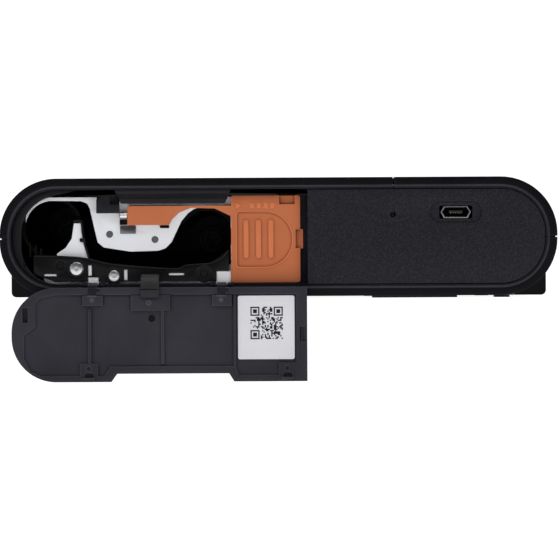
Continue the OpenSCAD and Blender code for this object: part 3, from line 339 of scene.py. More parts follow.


# Moulded and spark finishes get painted shade in their corners, and their edge setting brightens edges as a
# painted highlight, most on the shell.
finishes = {
    "shell": mouldedFinish("shellBlack", (0.0052, 0.0053, 0.0068), 0.34, spec=0.055, edgeHighlight=4.5),
    "lid": mouldedFinish("lidBlack", (0.0080, 0.0081, 0.0100), 0.44, 4200, 0.016, spec=0.14),
    "panel": sparkFinish("panelTexture", (0.0112, 0.0108, 0.0152), 0.55, 3400, 0.03, 0.3, 0.15),
    "innerFrame": mouldedFinish("frameBlack", (0.0095, 0.0095, 0.0125), 0.42, 4200, spec=0.14, edgeHighlight=2.6),
    "door": mouldedFinish("doorGrey", (0.0222, 0.0218, 0.0288), 0.5, 3800, 0.014, edgeHighlight=2.4),
    "clip": mouldedFinish("clipBlack", (0.0048, 0.0048, 0.0062), 0.38, 3800, spec=0.12, edgeHighlight=2.6),
    "slider": mouldedFinish("sliderOrange", (0.50, 0.146, 0.058), 0.46, 3600, 0.012, 0.06, edgeHighlight=1.25),
    "plateWhite": coatedFinish("plateWhite", (0.84, 0.85, 0.89)),
    "steel": metalFinish("shaftSteel", (0.72, 0.73, 0.75)),
    "darkSteel": metalFinish("screwSteel", (0.20, 0.205, 0.22), 0.35),
    "blackSteel": metalFinish("blackenedSteel", (0.022, 0.022, 0.024), 0.45),
    "springSteel": metalFinish("springSteel", (0.85, 0.85, 0.87), 0.2),
    "mechBlack": mouldedFinish("mechBlack", (0.0050, 0.0051, 0.0057), 0.34, 3600, 0.008, 0.25, 0.12),
    # trough black is darker than the other black plastics: partly the bays' own black plastic, partly
    # painted shade deep inside them
    "trough": mouldedFinish("troughBlackPaintedShade", (0.0016, 0.0016, 0.0018), 0.3, 3000, 0.002, 0.25, 0.06),
    "rubber": rubberFinish("rollerRubber", (0.010, 0.010, 0.011)),
    "strap": rubberFinish("strapRubber", (0.0075, 0.0076, 0.009), 0.55),
    "gear": mouldedFinish("gearAcetal", (0.72, 0.68, 0.58), 0.38, 2600, 0.008, 0.05),
    "hub": mouldedFinish("hubGrey", (0.055, 0.056, 0.060), 0.40, 2600, 0.008, 0.05),
    "brass": metalFinish("pinionBrass", (0.78, 0.57, 0.25), 0.3),
    "aluminium": metalFinish("heatsinkAluminium", (0.78, 0.79, 0.81), 0.34),
    "anodised": metalFinish("blackAnodised", (0.03, 0.03, 0.032), 0.4),
    "ceramic": coatedFinish("headCeramic", (0.84, 0.81, 0.76), 0.18),
    "board": sparkFinish("boardGreen", (0.012, 0.075, 0.035), 0.3, 1800, 0.01),
    "chips": mouldedFinish("chipBlack", (0.02, 0.02, 0.022), 0.5, 2600, 0.014),
    "socket": metalFinish("socketShell", (0.34, 0.345, 0.36), 0.3),
    "battery": coatedFinish("batteryWrap", (0.10, 0.14, 0.20), 0.3),
    "label": coatedFinish("labelFilm", (0.70, 0.70, 0.73), 0.5),
    "ink": mouldedFinish("labelInk", (0.006, 0.006, 0.007), 0.5, 2600, 0.004),
    "flap": mouldedFinish("flapBlack", (0.013, 0.0132, 0.015), 0.4),
    "button": mouldedFinish("buttonBlack", (0.012, 0.0123, 0.014), 0.34),
    "windowPad": coatedFinish("windowPad", (0.86, 0.86, 0.89), 0.4),
    "bead": mouldedFinish("beadBlack", (0.0150, 0.0150, 0.0185), 0.36, edgeHighlight=1.5),
    "mark": coatedFinish("markGrey", (0.42, 0.43, 0.45), 0.4),
}
finishNodes = {
    "shell": ["lower_shell", "upper_shell", "front_shell"],
    "lid": ["paper_lid"],
    "panel": ["side_panel", "rear_panel"],
    "innerFrame": ["bay_frame", "grip_panel"],
    "door": ["cartridge_door"],
    "slider": ["eject_slider"],
    "plateWhite": ["chassis_plate"],
    "steel": ["platen_shaft", "feed_shaft", "pickup_shaft", "gear_pins", "lid_hinge_pins",
              "pressure_plate"],
    "blackSteel": ["rear_chassis_plate", "head_arm", "door_hinge_pins", "pinch_roller", "head_pivot",
                   "chassis_rods"],
    "darkSteel": ["case_screws", "chassis_screws"],
    "springSteel": ["eject_spring"],
    "mechBlack": ["bearing_carrier", "rear_bearing_carrier", "pinch_strut", "paper_chute", "paper_tray"],
    "trough": ["supply_trough", "takeup_trough"],
    "rubber": ["rubber_feet", "platen_rubber", "pickup_tyres"],
    "strap": ["door_strap"],
    "gear": ["takeup_gear", "platen_gear", "feed_gear", "feed_idler", "link_gear", "reduction_gear",
             "pickup_idler", "pickup_gear", "reset_button"],
    "hub": ["supply_hub", "takeup_hub"],
    "brass": ["motor_pinion"],
    "anodised": ["head_heatsink"],
    "aluminium": ["motor"],
    "ceramic": ["head_element"],
    "board": ["main_board"],
    "chips": ["board_parts"],
    "socket": ["usb_socket"],
    "battery": ["battery"],
    "label": ["door_label"],
    "flap": ["exit_flap", "rear_flap"],
    "button": ["power_button"],
}
finishOf = {node: key for key, nodes in finishNodes.items() for node in nodes}
bodyOf = {n: body for body, names in frame["record"]["behaviour"]["bodies"].items() for n in names}
for node, obj in frame["nodes"].items():
    obj.data.materials.clear()
    obj.data.materials.append(finishes[finishOf[node]])
print("finishes on", len(finishOf), "nodes")


# mesh helpers

def putPiece(name, bm, body, key, sharp=30):
    bmesh.ops.remove_doubles(bm, verts=bm.verts[:], dist=0.0005)
    bmesh.ops.scale(bm, vec=(mm, mm, mm), verts=bm.verts[:])
    mesh = bpy.data.meshes.new(name)
    bm.to_mesh(mesh)
    bm.free()
    return putMesh(name, mesh, body, key, sharp)


def putMesh(name, mesh, body, key, sharp=30):
    mesh.polygons.foreach_set("use_smooth", [True] * len(mesh.polygons))
    mesh.set_sharp_from_angle(angle=math.radians(sharp))
    mesh.materials.clear()
    mesh.materials.append(finishes[key])
    obj = bpy.data.objects.new(name, mesh)
    scene.collection.objects.link(obj)
    if body:
        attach(obj, body)
    return obj


def joined(parts):
    whole = bmesh.new()
    for bm in parts:
        scratch = bpy.data.meshes.new("scratch")
        bm.to_mesh(scratch)
        bm.free()
        whole.from_mesh(scratch)
        bpy.data.meshes.remove(scratch)
    return whole


def roundBox(x0, z0, x1, z1, r, steps=5):
    points = []
    corners = ((x1 - r, z1 - r, 0), (x0 + r, z1 - r, 90), (x0 + r, z0 + r, 180), (x1 - r, z0 + r, 270))
    for cx, cz, start in corners:
        for i in range(steps + 1):
            a = math.radians(start + 90 * i / steps)
            points.append((cx + r * math.cos(a), cz + r * math.sin(a)))
    return points


def prism(outline, y0, y1, soft=0.0, segments=2):  # upright slab from a front outline, front edges softened
    bm = bmesh.new()
    front = [bm.verts.new((x, y0, z)) for x, z in outline]
    back = [bm.verts.new((x, y1, z)) for x, z in outline]
    n = len(outline)
    bm.faces.new(front)
    bm.faces.new(back[::-1])
    for i in range(n):
        j = (i + 1) % n
        bm.faces.new((front[i], back[i], back[j], front[j]))
    bmesh.ops.recalc_face_normals(bm, faces=bm.faces[:])
    if soft:
        rim = [bm.edges.get((front[i], front[(i + 1) % n])) for i in range(n)]
        bmesh.ops.bevel(bm, geom=rim, offset=soft, segments=segments, profile=0.5, affect="EDGES",
                        clamp_overlap=True)
    return bm


def ringPrism(outer, inner, y0, y1):  # band between two outlines of the same number of points
    bm = bmesh.new()
    rows = [[bm.verts.new((x, y, z)) for x, z in line] for line, y in
            ((outer, y0), (outer, y1), (inner, y1), (inner, y0))]
    n = len(outer)
    for a in range(4):
        b = (a + 1) % 4
        for i in range(n):
            j = (i + 1) % n
            bm.faces.new((rows[a][i], rows[b][i], rows[b][j], rows[a][j]))
    bmesh.ops.recalc_face_normals(bm, faces=bm.faces[:])
    return bm


def turned(profile, x, z, steps=40):  # turned about an axis along Y, from (radius, y) points
    bm = bmesh.new()
    rows = []
    for r, y in profile:
        if r == 0:
            rows.append([bm.verts.new((x, y, z))])
        else:
            rows.append([bm.verts.new((x + r * math.cos(2 * math.pi * i / steps), y,
                                       z + r * math.sin(2 * math.pi * i / steps))) for i in range(steps)])
    for a, b in zip(rows, rows[1:]):
        for i in range(steps):
            j = (i + 1) % steps
            quad = [a[i % len(a)], a[j % len(a)], b[j % len(b)], b[i % len(b)]]
            face = list(dict.fromkeys(quad))
            if len(face) > 2:
                bm.faces.new(face)
    bmesh.ops.recalc_face_normals(bm, faces=bm.faces[:])
    return bm


# Geometry Nodes: one tree repeats a part on points, one winds a coil

def newTree(name, sockets):
    tree = bpy.data.node_groups.new(name, "GeometryNodeTree")
    ids = {}
    for label, kind in sockets:
        socket = tree.interface.new_socket(label, in_out="INPUT", socket_type="NodeSocket" + kind)
        ids[label] = socket.identifier
    tree.interface.new_socket("Geometry", in_out="OUTPUT", socket_type="NodeSocketGeometry")
    return tree, ids, tree.nodes.new("NodeGroupInput"), tree.nodes.new("NodeGroupOutput")


def finishTree(tree, source, geometry, out):
    real = tree.nodes.new("GeometryNodeRealizeInstances")
    coat = tree.nodes.new("GeometryNodeSetMaterial")
    tree.links.new(geometry, real.inputs["Geometry"])
    tree.links.new(real.outputs["Geometry"], coat.inputs["Geometry"])
    tree.links.new(source.outputs["Material"], coat.inputs["Material"])
    tree.links.new(coat.outputs["Geometry"], out.inputs["Geometry"])


def repeatTree():
    tree, ids, source, out = newTree("repeatOnPoints", [("Points", "Geometry"), ("Part", "Object"),
                                                        ("Size", "Float"), ("Material", "Material")])
    info = tree.nodes.new("GeometryNodeObjectInfo")
    copies = tree.nodes.new("GeometryNodeInstanceOnPoints")
    tree.links.new(source.outputs["Part"], info.inputs["Object"])
    tree.links.new(source.outputs["Points"], copies.inputs["Points"])
    tree.links.new(info.outputs["Geometry"], copies.inputs["Instance"])
    tree.links.new(source.outputs["Size"], copies.inputs["Scale"])
    finishTree(tree, source, copies.outputs["Instances"], out)
    return tree, ids


def coilTree():
    tree, ids, source, out = newTree("returnCoil", [("Turns", "Float"), ("Radius", "Float"),
                                                       ("Length", "Float"),
                                                    ("Wire", "Float"), ("Material", "Material")])
    spiral = tree.nodes.new("GeometryNodeCurveSpiral")
    spiral.inputs["Resolution"].default_value = 24
    wire = tree.nodes.new("GeometryNodeCurvePrimitiveCircle")
    wire.inputs["Resolution"].default_value = 8
    sweep = tree.nodes.new("GeometryNodeCurveToMesh")
    sweep.inputs["Fill Caps"].default_value = True
    for label, socket in (("Turns", "Rotations"), ("Radius", "Start Radius"), ("Radius", "End Radius"),
                          ("Length", "Height")):
        tree.links.new(source.outputs[label], spiral.inputs[socket])
    tree.links.new(source.outputs["Wire"], wire.inputs["Radius"])
    tree.links.new(spiral.outputs["Curve"], sweep.inputs["Curve"])
    tree.links.new(wire.outputs["Curve"], sweep.inputs["Profile Curve"])
    finishTree(tree, source, sweep.outputs["Mesh"], out)
    return tree, ids


def evaluated(name, tree, ids, values, points=None):
    base = bpy.data.meshes.new(name + "Points")
    base.from_pydata(points or [], [], [])
    holder = bpy.data.objects.new(name + "Holder", base)
    scene.collection.objects.link(holder)
    mod = holder.modifiers.new("nodes", "NODES")
    mod.node_group = tree
    for label, value in values.items():
        mod[ids[label]] = value
    result = bpy.data.meshes.new_from_object(holder.evaluated_get(bpy.context.evaluated_depsgraph_get()))
    bpy.data.objects.remove(holder)
    result.name = name
    return result


onPoints, onPointsIds = repeatTree()
coil, coilIds = coilTree()


def repeatPart(name, bm, spots, body, key, size=1.0, sharp=30):
    mesh = bpy.data.meshes.new(name + "Part")
    bmesh.ops.scale(bm, vec=(mm, mm, mm), verts=bm.verts[:])
    bm.to_mesh(mesh)
    bm.free()
    part = bpy.data.objects.new(name + "Part", mesh)
    scene.collection.objects.link(part)
    values = {"Part": part, "Size": size, "Material": finishes[key]}
    result = evaluated(name, onPoints, onPointsIds, values, [tuple(c * mm for c in p) for p in spots])
    bpy.data.objects.remove(part)
    return putMesh(name, result, body, key, sharp)


# softened copies of the moulded and pressed nodes

softWidths = {
    "lower_shell": (0.42, 3), "upper_shell": (0.42, 3), "front_shell": (0.42, 3),
    "side_panel": (0.16, 2), "rear_panel": (0.16, 2), "bay_frame": (0.20, 2), "grip_panel": (0.28, 3),
    "cartridge_door": (0.16, 2), "eject_slider": (0.14, 2), "chassis_plate": (0.06, 1),
    "bearing_carrier": (0.12, 2), "paper_lid": (0.25, 2), "rubber_feet": (0.15, 2),
    "power_button": (0.12, 2), "battery": (0.4, 2), "exit_flap": (0.08, 1),
    "rear_flap": (0.08, 1), "paper_tray": (0.12, 1), "main_board": (0.05, 1), "head_heatsink": (0.06, 1),
}


def soften(node, width, segments, angle=32):
    bm = bmesh.new()
    bm.from_mesh(frame["nodes"][node].data)
    bmesh.ops.scale(bm, vec=(1 / mm,) * 3, verts=bm.verts[:])
    bmesh.ops.remove_doubles(bm, verts=bm.verts[:], dist=0.001)
    bmesh.ops.dissolve_limit(bm, angle_limit=math.radians(0.6), verts=bm.verts[:], edges=bm.edges[:])
    sharp = [e for e in bm.edges if len(e.link_faces) == 2 and e.calc_face_angle(0) > math.radians(angle)]
    bmesh.ops.bevel(bm, geom=sharp, offset=width, segments=segments, profile=0.5, affect="EDGES",
                    clamp_overlap=True)
    bmesh.ops.triangulate(bm, faces=[f for f in bm.faces if len(f.verts) > 4])
    obj = putPiece(node + "Soft", bm, bodyOf[node], finishOf[node])
    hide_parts(node)


for node, (width, segments) in softWidths.items():
    soften(node, width, segments)
print("softened", len(softWidths), "nodes")


# eject slider: ribs, dish lip, notch floors and a plain eject mark

sliderLo, sliderHi = boxOf("eject_slider")
sliderDetail = {
    "ribs": 3,
    "ribPitch": 3.2,
    "ribSize": (1.3, 10.0),
    "ribRise": 0.3,
    "dishRight": -1.95,  # dish edge from the slider's right edge
    "dishRadius": 7.2,
    "dishLeft": -16.4,
    "dishCorner": 0.9,
    "dishMiddle": 15.2,
    "ribMiddle": 15.25,
    "ribsFromRight": 14.6,
    "ribSoft": 0.34,
    "ribSink": 0.08,
    "lip": 0.22,
    "lipRise": 0.07,
    "floors": ((-5.6, 24.0, -1.2, 26.4), (-1.4, 12.8, 0.7, 17.8)),  # x from the right edge
    "floorDeep": (0.9, 1.6),
    "markAt": (-10.3, 23.9),
    "markRise": (0.14, 0.2, 0.08),
    "wedge": ((-6.3, -0.9), (-4.7, 0), (-6.3, 0.9)),
    "bars": (-2.6, 1.75, 1.15, 4),  # first, pitch, width, count
    "markTall": 1.5,
}


def dishOutline(inset):
    s = sliderDetail
    r = s["dishRadius"] - inset
    cx, cz = sliderHi.x + s["dishRight"] - s["dishRadius"], s["dishMiddle"]
    left = sliderHi.x + s["dishLeft"] + inset
    turn = [math.radians(a) for a in range(-90, 91, 6)]
    points = [(cx + r * math.cos(a), cz + r * math.sin(a)) for a in turn]
    corner = s["dishCorner"]
    for start, side in ((90, 1), (180, -1)):
        for i in range(5):
            a = math.radians(start + 90 * i / 4)
            z = cz + (r - corner) * side + corner * math.sin(a)
            points.append((left + corner + corner * math.cos(a), z))
    return points


def addSliderDetail():
    s = sliderDetail
    face = sliderLo.y
    w, h = s["ribSize"]
    x0 = sliderHi.x - s["ribsFromRight"]
    outline = roundBox(-w / 2, -h / 2, w / 2, h / 2, w / 2 - 0.01)
    rib = prism(outline, 0, s["ribRise"] + 0.3, s["ribSoft"], 4)
    xs = [x0 + w / 2 + i * s["ribPitch"] for i in range(s["ribs"])]
    spots = [(x, face + s["ribSink"], s["ribMiddle"]) for x in xs]
    repeatPart("sliderRibs", rib, spots, "slider", "slider")
    lip = ringPrism(dishOutline(-s["lip"]), dishOutline(s["lip"] * 0.4), face - s["lipRise"], face + 0.55)
    putPiece("dishLip", lip, "slider", "slider")
    shallow, deep = s["floorDeep"]
    floors = [prism(roundBox(sliderHi.x + a, z0, sliderHi.x + b, z1, 0.1), face + shallow, face + deep)
              for a, z0, b, z1 in s["floors"]]
    putPiece("notchFloors", joined(floors), "slider", "slider")
    tall = s["markTall"]
    mx, mz = sliderHi.x + s["markAt"][0], s["markAt"][1]
    rise, sink, soft = s["markRise"]
    marks = [prism([(mx + x, mz + z) for x, z in s["wedge"]], face - rise, face + sink, soft)]
    first, pitch, width, count = s["bars"]
    for i in range(count):  # plain raised bars stand where wording would
        x = mx + first + i * pitch
        outline = roundBox(x, mz - tall / 2, x + width, mz + tall / 2, 0.3)
        marks.append(prism(outline, face - rise, face + sink, soft))
    putPiece("ejectMark", joined(marks), "slider", "slider")


addSliderDetail()
print("eject slider detailed")


# return spring as a wound coil between the frame block and the slider's arm

springDetail = {"turns": 5.5, "wire": 0.17}


def addSpring():
    lo, hi = boxOf("eject_spring")
    radius = (hi.z - lo.z) / 2 - springDetail["wire"]
    values = {"Turns": springDetail["turns"], "Radius": radius * mm, "Length": (hi.x - lo.x - 0.3) * mm,
              "Wire": springDetail["wire"] * mm, "Material": finishes["springSteel"]}
    mesh = evaluated("ejectCoil", coil, coilIds, values)
    mesh.transform(Matrix.Rotation(math.radians(90), 4, "Y"))
    mesh.transform(Matrix.Translation(Vector((lo.x + 0.15, (lo.y + hi.y) / 2, (lo.z + hi.z) / 2)) * mm))
    obj = putMesh("ejectCoil", mesh, None, "springSteel", 60)
    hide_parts("eject_spring")
    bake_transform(obj)


addSpring()
print("return spring wound")


# bead along the inner edge of each rim

rimBead = {"inset": 2.25, "radius": 0.26, "sink": 0.10, "endRadius": 14.6}


def tube(path, radius, closed=False, sides=8):  # round bead along points in one upright plane
    bm = bmesh.new()
    rows = []
    n = len(path)
    for i, p in enumerate(path):
        before = path[(i - 1) % n] if closed or i > 0 else p
        after = path[(i + 1) % n] if closed or i < n - 1 else p
        along = (after - before).normalized()
        side = along.cross(Vector((0, 1, 0))).normalized()
        row = []
        for k in range(sides):
            a = 2 * math.pi * k / sides
            row.append(bm.verts.new(p + side * radius * math.cos(a) + Vector((0, radius * math.sin(a), 0))))
        rows.append(row)
    for i in range(n if closed else n - 1):
        a, b = rows[i], rows[(i + 1) % n]
        for k in range(sides):
            bm.faces.new((a[k], a[(k + 1) % sides], b[(k + 1) % sides], b[k]))
    if not closed:
        bm.faces.new(rows[0])
        bm.faces.new(rows[-1][::-1])
    bmesh.ops.recalc_face_normals(bm, faces=bm.faces[:])
    return bm


def smoothPath(points, steps=6):  # Catmull-Rom through the points
    pts = [Vector(p) for p in points]
    pts = [pts[0] * 2 - pts[1]] + pts + [pts[-1] * 2 - pts[-2]]
    path = []
    for a, b, c, d in zip(pts, pts[1:], pts[2:], pts[3:]):
        for i in range(steps):
            t = i / steps
            path.append(0.5 * (2 * b + (c - a) * t + (2 * a - 5 * b + 4 * c - d) * t * t
                               + (3 * b - a - 3 * c + d) * t ** 3))
    return path + [pts[-2]]


def addRimBeads():
    lo, hi = boxOf("lower_shell", "upper_shell", "front_shell")
    near, far = boxOf("upper_shell")[0].y, boxOf("upper_shell")[1].y
    inset = rimBead["inset"]
    radius = rimBead["endRadius"] - inset
    outline = roundBox(lo.x + inset, lo.z + inset, hi.x - inset, hi.z - inset, radius, 14)
    beads = []
    for y in (near + rimBead["sink"], far - rimBead["sink"]):
        beads.append(tube([Vector((x, y, z)) for x, z in outline], rimBead["radius"], True))
    putPiece("rimBeads", joined(beads), "case", "bead", 60)


addRimBeads()
print("rim beads laid")


# cartridge door: hinge clips, catches, bosses and the printed label

labelLo, labelHi = boxOf("door_label")
doorFace = labelLo.y - 0.5
doorDetail = {
    "clips": (-47.7, -14.6),
    "catches": (-48.7, 2.2),
    # x0, z0, x1, z1, corner, rise, soft; x from the clip or catch
    "clipBlocks": ((-1.3, 0.5, 1.0, 2.9, 0.25, 0.16, 0.12), (0.2, 1.7, 1.9, 2.7, 0.2, 0.14, 0.1)),
    "catchBlocks": ((-1.2, -20.9, 1.3, -18.9, 0.3, 0.16, 0.18), (-0.1, -21.0, 2.0, -20.2, 0.2, 0.17, 0.1)),
    # radius and height from the door's inner face, along Y
    "clipPeg": ((0, -0.17), (0.45, -0.15), (0.6, -0.08), (0.6, 0)),
    "catchPeg": ((0, -0.17), (0.5, -0.15), (0.62, -0.06), (0.62, 0.4)),
    "clipPegAt": (-0.2, -0.3),
    "catchPegAt": (-0.1, -17.8),
    "holeAt": (-33.35, -1.0),
    "holeRing": ((0, -0.05), (0.34, -0.04), (0.36, -0.16), (0.55, -0.17), (0.66, -0.1), (0.68, 0.1)),
    "bossAt": (-32.6, -5.0),
    "bossRing": ((0, -0.5), (0.5, -0.48), (0.62, -0.3), (0.66, -0.1), (0.86, -0.12), (0.95, 0.05)),
    "pocketDeep": 0.6,
    "pinAt": (5.75, -9.2),
    "pinSize": (0.22, 1.9, 0.2),  # half width, half height, corner
}


def peg(profile, base, x, z, steps):  # turned boss on a face at y = base
    return turned([(r, base + y) for r, y in profile], x, z, steps)


def addDoorClips():
    d = doorDetail
    parts = []
    for kind in ("clip", "catch"):
        px, pz = d[kind + "PegAt"]
        for x in d[kind + ("s" if kind == "clip" else "es")]:
            for x0, z0, x1, z1, corner, rise, soft in d[kind + "Blocks"]:
                outline = roundBox(x + x0, z0, x + x1, z1, corner)
                parts.append(prism(outline, doorFace - rise, doorFace + 0.2, soft))
            parts.append(peg(d[kind + "Peg"], doorFace, x + px, pz, 20))
    putPiece("doorClips", joined(parts), "door", "clip")
    rings = [peg(d["holeRing"], doorFace, *d["holeAt"], 24),
             peg(d["bossRing"], doorFace + d["pocketDeep"], *d["bossAt"], 28)]
    putPiece("doorBosses", joined(rings), "door", "clip")
    x, z = d["pinAt"]
    w, h, corner = d["pinSize"]
    pin = prism(roundBox(x - w, z - h, x + w, z + h, corner), doorFace + 0.1, doorFace + 1.1, 0.12)
    putPiece("latchPin", pin, "door", "bead")


labelCode = {
    "cells": 25,
    "size": 8.3,
    "fromLeft": 3.2,
    "fromTop": 2.85,
    "density": 0.47,
    "seed": 11,
    "rise": 0.03,
    "markCells": 7,
}


def squareAt(x, z, half):
    return [(x + sx * half, z + sz * half) for sx, sz in ((-1, -1), (1, -1), (1, 1), (-1, 1))]


def addLabelCode():  # a meaningless field of squares with three corner marks
    c = labelCode
    n, step = c["cells"], c["size"] / c["cells"]
    x0, z0 = labelLo.x + c["fromLeft"], labelHi.z - c["fromTop"]
    face = labelLo.y
    draw = random.Random(c["seed"])
    spots = []
    for row in range(n):
        for col in range(n):
            inMark = (row < 8 and (col < 8 or col > n - 9)) or (row > n - 9 and col < 8)
            if draw.random() < c["density"] and not inMark:
                spots.append((x0 + (col + 0.5) * step, face, z0 - (row + 0.5) * step))
    half = step / 2
    square = prism([(-half, -half), (half, -half), (half, half), (-half, half)], -c["rise"], 0.01)
    repeatPart("labelCells", square, spots, "door", "ink")
    marks = []
    m = c["markCells"]
    for col, row in ((0, 0), (n - m, 0), (0, n - m)):
        x, z = x0 + (col + m / 2) * step, z0 - (row + m / 2) * step
        outer, inner, core = (squareAt(x, z, k * step) for k in (3.5, 2.5, 1.5))
        marks.append(ringPrism(outer, inner, face - c["rise"], face + 0.01))
        marks.append(prism(core, face - c["rise"], face + 0.01))
    putPiece("labelMarks", joined(marks), "door", "ink")


addDoorClips()
addLabelCode()
print("door and label detailed")


# strap that bends over the hinge

strapShape = {
    "thick": 0.62,
    "path": ((-48.4, 5.95), (-50.0, 6.05), (-51.9, 5.9), (-53.6, 4.9), (-54.35, 3.3), (-54.45, 1.8),
             (-54.3, 0.35)),
    "across": (0, 0.04, 0.1, 0.3, 0.5, 0.7, 0.9, 0.96, 1),
    "crown": (0.35, 0.75, 0.95, 1.05, 1.08, 1.05, 0.95, 0.75, 0.35),
    "caseEnd": (-51.4, 5.9),
    "doorEnd": (-54.2, 2.6),
}


def addStrap():
    lo, hi = boxOf("door_strap")
    centre = smoothPath([(0, y, z) for y, z in strapShape["path"]], 6)
    half = strapShape["thick"] / 2
    across = [lo.x + (hi.x - lo.x) * t for t in strapShape["across"]]
    crown = strapShape["crown"]
    bm = bmesh.new()
    rows = []
    for i, p in enumerate(centre):
        along = (centre[min(i + 1, len(centre) - 1)] - centre[max(i - 1, 0)]).normalized()
        out = Vector((0, -along.z, along.y))
        out = out if out.y < 0 or out.z > 0 else -out
        spine = [(Vector((x, p.y, p.z)), c) for x, c in zip(across, crown)]
        front = [bm.verts.new(q + out * half * c) for q, c in spine]
        back = [bm.verts.new(q - out * half * min(c, 0.95)) for q, c in spine]
        rows.append(front + back[::-1])
    for a, b in zip(rows, rows[1:]):
        for k in range(len(a)):
            j = (k + 1) % len(a)
            bm.faces.new((a[k], a[j], b[j], b[k]))
    bm.faces.new(rows[0])
    bm.faces.new(rows[-1][::-1])
    bmesh.ops.recalc_face_normals(bm, faces=bm.faces[:])
    obj = putPiece("hingeStrap", bm, None, "strap", 50)
    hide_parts("door_strap")
    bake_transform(obj)


addStrap()
print("strap bent over the hinge")


# mechanism seen through the bay: shaft ends, bushings, screws, beads and the plate's fittings

carrierLo = boxOf("bearing_carrier")[0]
mechDetail = {
    "shafts": {"feed": (-52.1, 7.8, 1.78), "platen": (-42.4, 5.9, 1.5)},
    "screws": ((-56.2, 8.8, 1.45), (-19.2, 6.4, 2.25)),
    "screwRadius": 0.95,
    "rivets": ((-43.6, 16.7), (-31.9, 15.3)),
    "topEdge": ((-63.0, 11.1), (-56, 11.0), (-49.7, 10.45), (-43.3, 8.95), (-36, 8.2), (-29.2, 7.75),
                (-25.6, 7.75), (-24.0, 8.55), (-20.4, 8.8), (-17.6, 9.05), (-14.6, 10.4), (-13.0, 12.3)),
    "strutEdge": ((-49.0, 10.9), (-50.0, 14.2), (-50.55, 17.2), (-50.8, 19.8), (-51.5, 20.25),
                  (-52.9, 20.1)),
    "edgeRadius": 0.2,
    "guideRadius": 0.3,
    "guideHook": (-51.3, 14.7, -49.9, 15.7),
    "lobeRibs": (-64.1, -62.7, -61.3),
    "lobeRibZ": (10.9, 14.6, 0.7),  # foot, top of the first, step down
    "rivetRadius": 0.84,
    "rivetSink": 0.25,
    "pads": ((-49.1, 3.3, -46.4, 5.6), (-16.1, 3.6, -12.3, 7.0), (-49.05, 6.05, -48.15, 8.7),
             (-39.85, 4.85, -38.95, 7.5), (-60.4, 5.95, -57.2, 6.5), (-28.3, 6.05, -24.4, 6.6)),
    "padDeep": (0.3, 1.1),
    "armNotch": (-30.6, 18.2, -28.2, 18.95),
    "armStop": (-40.9, 16.8, -36.8, 18.95),
    "headProfile": ((0, -0.12), (0.3, -0.12), (0.34, -0.3), (0.8, -0.3), (1, -0.12), (1, 0.1)),
}


def crossHead(r):  # screw head with a cross recess, facing -Y
    bm = turned([(k * r, y) for k, y in mechDetail["headProfile"]], 0, 0, 28)
    arms = [prism(roundBox(-0.5 * r, -0.1 * r, 0.5 * r, 0.1 * r, 0.05), -0.315, -0.28),
            prism(roundBox(-0.1 * r, -0.5 * r, 0.1 * r, 0.5 * r, 0.05), -0.315, -0.28)]
    return joined([bm] + arms)


def addMechanism():
    m = mechDetail
    face = carrierLo.y
    end = boxOf("feed_shaft")[0].y
    rings = []
    for body, (x, z, r) in m["shafts"].items():
        cap = turned([(0, end - 0.02), (0.22, end - 0.04), (0.34, end - 0.2), (r * 0.72, end - 0.24),
                      (r * 0.76, end - 0.21), (r - 0.22, end - 0.21), (r, end), (r, end + 0.3)], x, z, 48)
        putPiece(body + "ShaftEnd", cap, body, "steel")
        rings.append(turned([(r + 0.06, face + 0.05), (r + 0.12, face - 0.16), (r + 0.55, face - 0.18),
                             (r + 0.72, face - 0.05), (r + 0.74, face + 0.1)], x, z, 48))
    for x, z, r in m["screws"]:
        rings.append(turned([(m["screwRadius"] + 0.05, face + 0.05), (m["screwRadius"] + 0.1, face - 0.2),
                             (r - 0.25, face - 0.22), (r, face - 0.08), (r + 0.02, face + 0.1)], x, z, 40))
    putPiece("bushings", joined(rings), "case", "mechBlack")
    spots = [(x, face + 0.1, z) for x, z, r in m["screws"]]
    repeatPart("carrierScrews", crossHead(m["screwRadius"]), spots, "case", "blackSteel")
    plate = boxOf("chassis_plate")[0].y
    spots = [(x, plate + m["rivetSink"], z) for x, z in m["rivets"]]
    repeatPart("plateRivets", crossHead(m["rivetRadius"]), spots, "case", "darkSteel")
    edge = smoothPath([(x, face - 0.02, z) for x, z in m["topEdge"]], 5)
    guide = smoothPath([(x, plate - 0.25, z) for x, z in m["strutEdge"]], 5)
    hook = prism(roundBox(*m["guideHook"], 0.3), plate - 0.6, plate + 0.1, 0.15)
    beads = [tube(edge, m["edgeRadius"]), tube(guide, m["guideRadius"]), hook]
    putPiece("carrierBeads", joined(beads), "case", "clip", 60)
    foot, crest, step = m["lobeRibZ"]
    ribs = [prism(roundBox(x - 0.18, foot, x + 0.18, crest - step * i, 0.15), plate - 0.2, plate + 3, 0.1)
            for i, x in enumerate(m["lobeRibs"])]
    putPiece("lobeRibs", joined(ribs), "case", "mechBlack")
    shallow, deep = m["padDeep"]
    pads = [prism(roundBox(*corners, 0.1), face + shallow, face + deep, 0.06) for corners in m["pads"]]
    putPiece("windowPads", joined(pads), "case", "windowPad")
    # black block on the plate where the slot below the arm is: painted shade in the slot
    slotShade = prism(roundBox(*m["armNotch"], 0.2), plate - 0.3, plate + 0.02, 0.08)
    putPiece("armNotch", slotShade, "case", "mechBlack")
    tab = prism(roundBox(*m["armStop"], 0.2), plate - 0.22, plate + 0.02, 0.08)
    putPiece("armStop", tab, "case", "darkSteel")


addMechanism()
print("mechanism detailed")


# micro USB socket: folded shell, tongue and contacts

usbShape = {
    "halfWidth": 3.9,
    "halfHeight": 1.5,
    "cut": 0.85,
    "wall": 0.24,
    "front": 0.30,
    "tongue": (1.75, 0.3),
    "contacts": 5,
    "contactPitch": 0.65,
}


def hexagon(cx, cz, w, h, cut):
    return [(cx - w, cz), (cx - w + cut, cz - h), (cx + w - cut, cz - h),
            (cx + w, cz), (cx + w - cut, cz + h), (cx - w + cut, cz + h)]


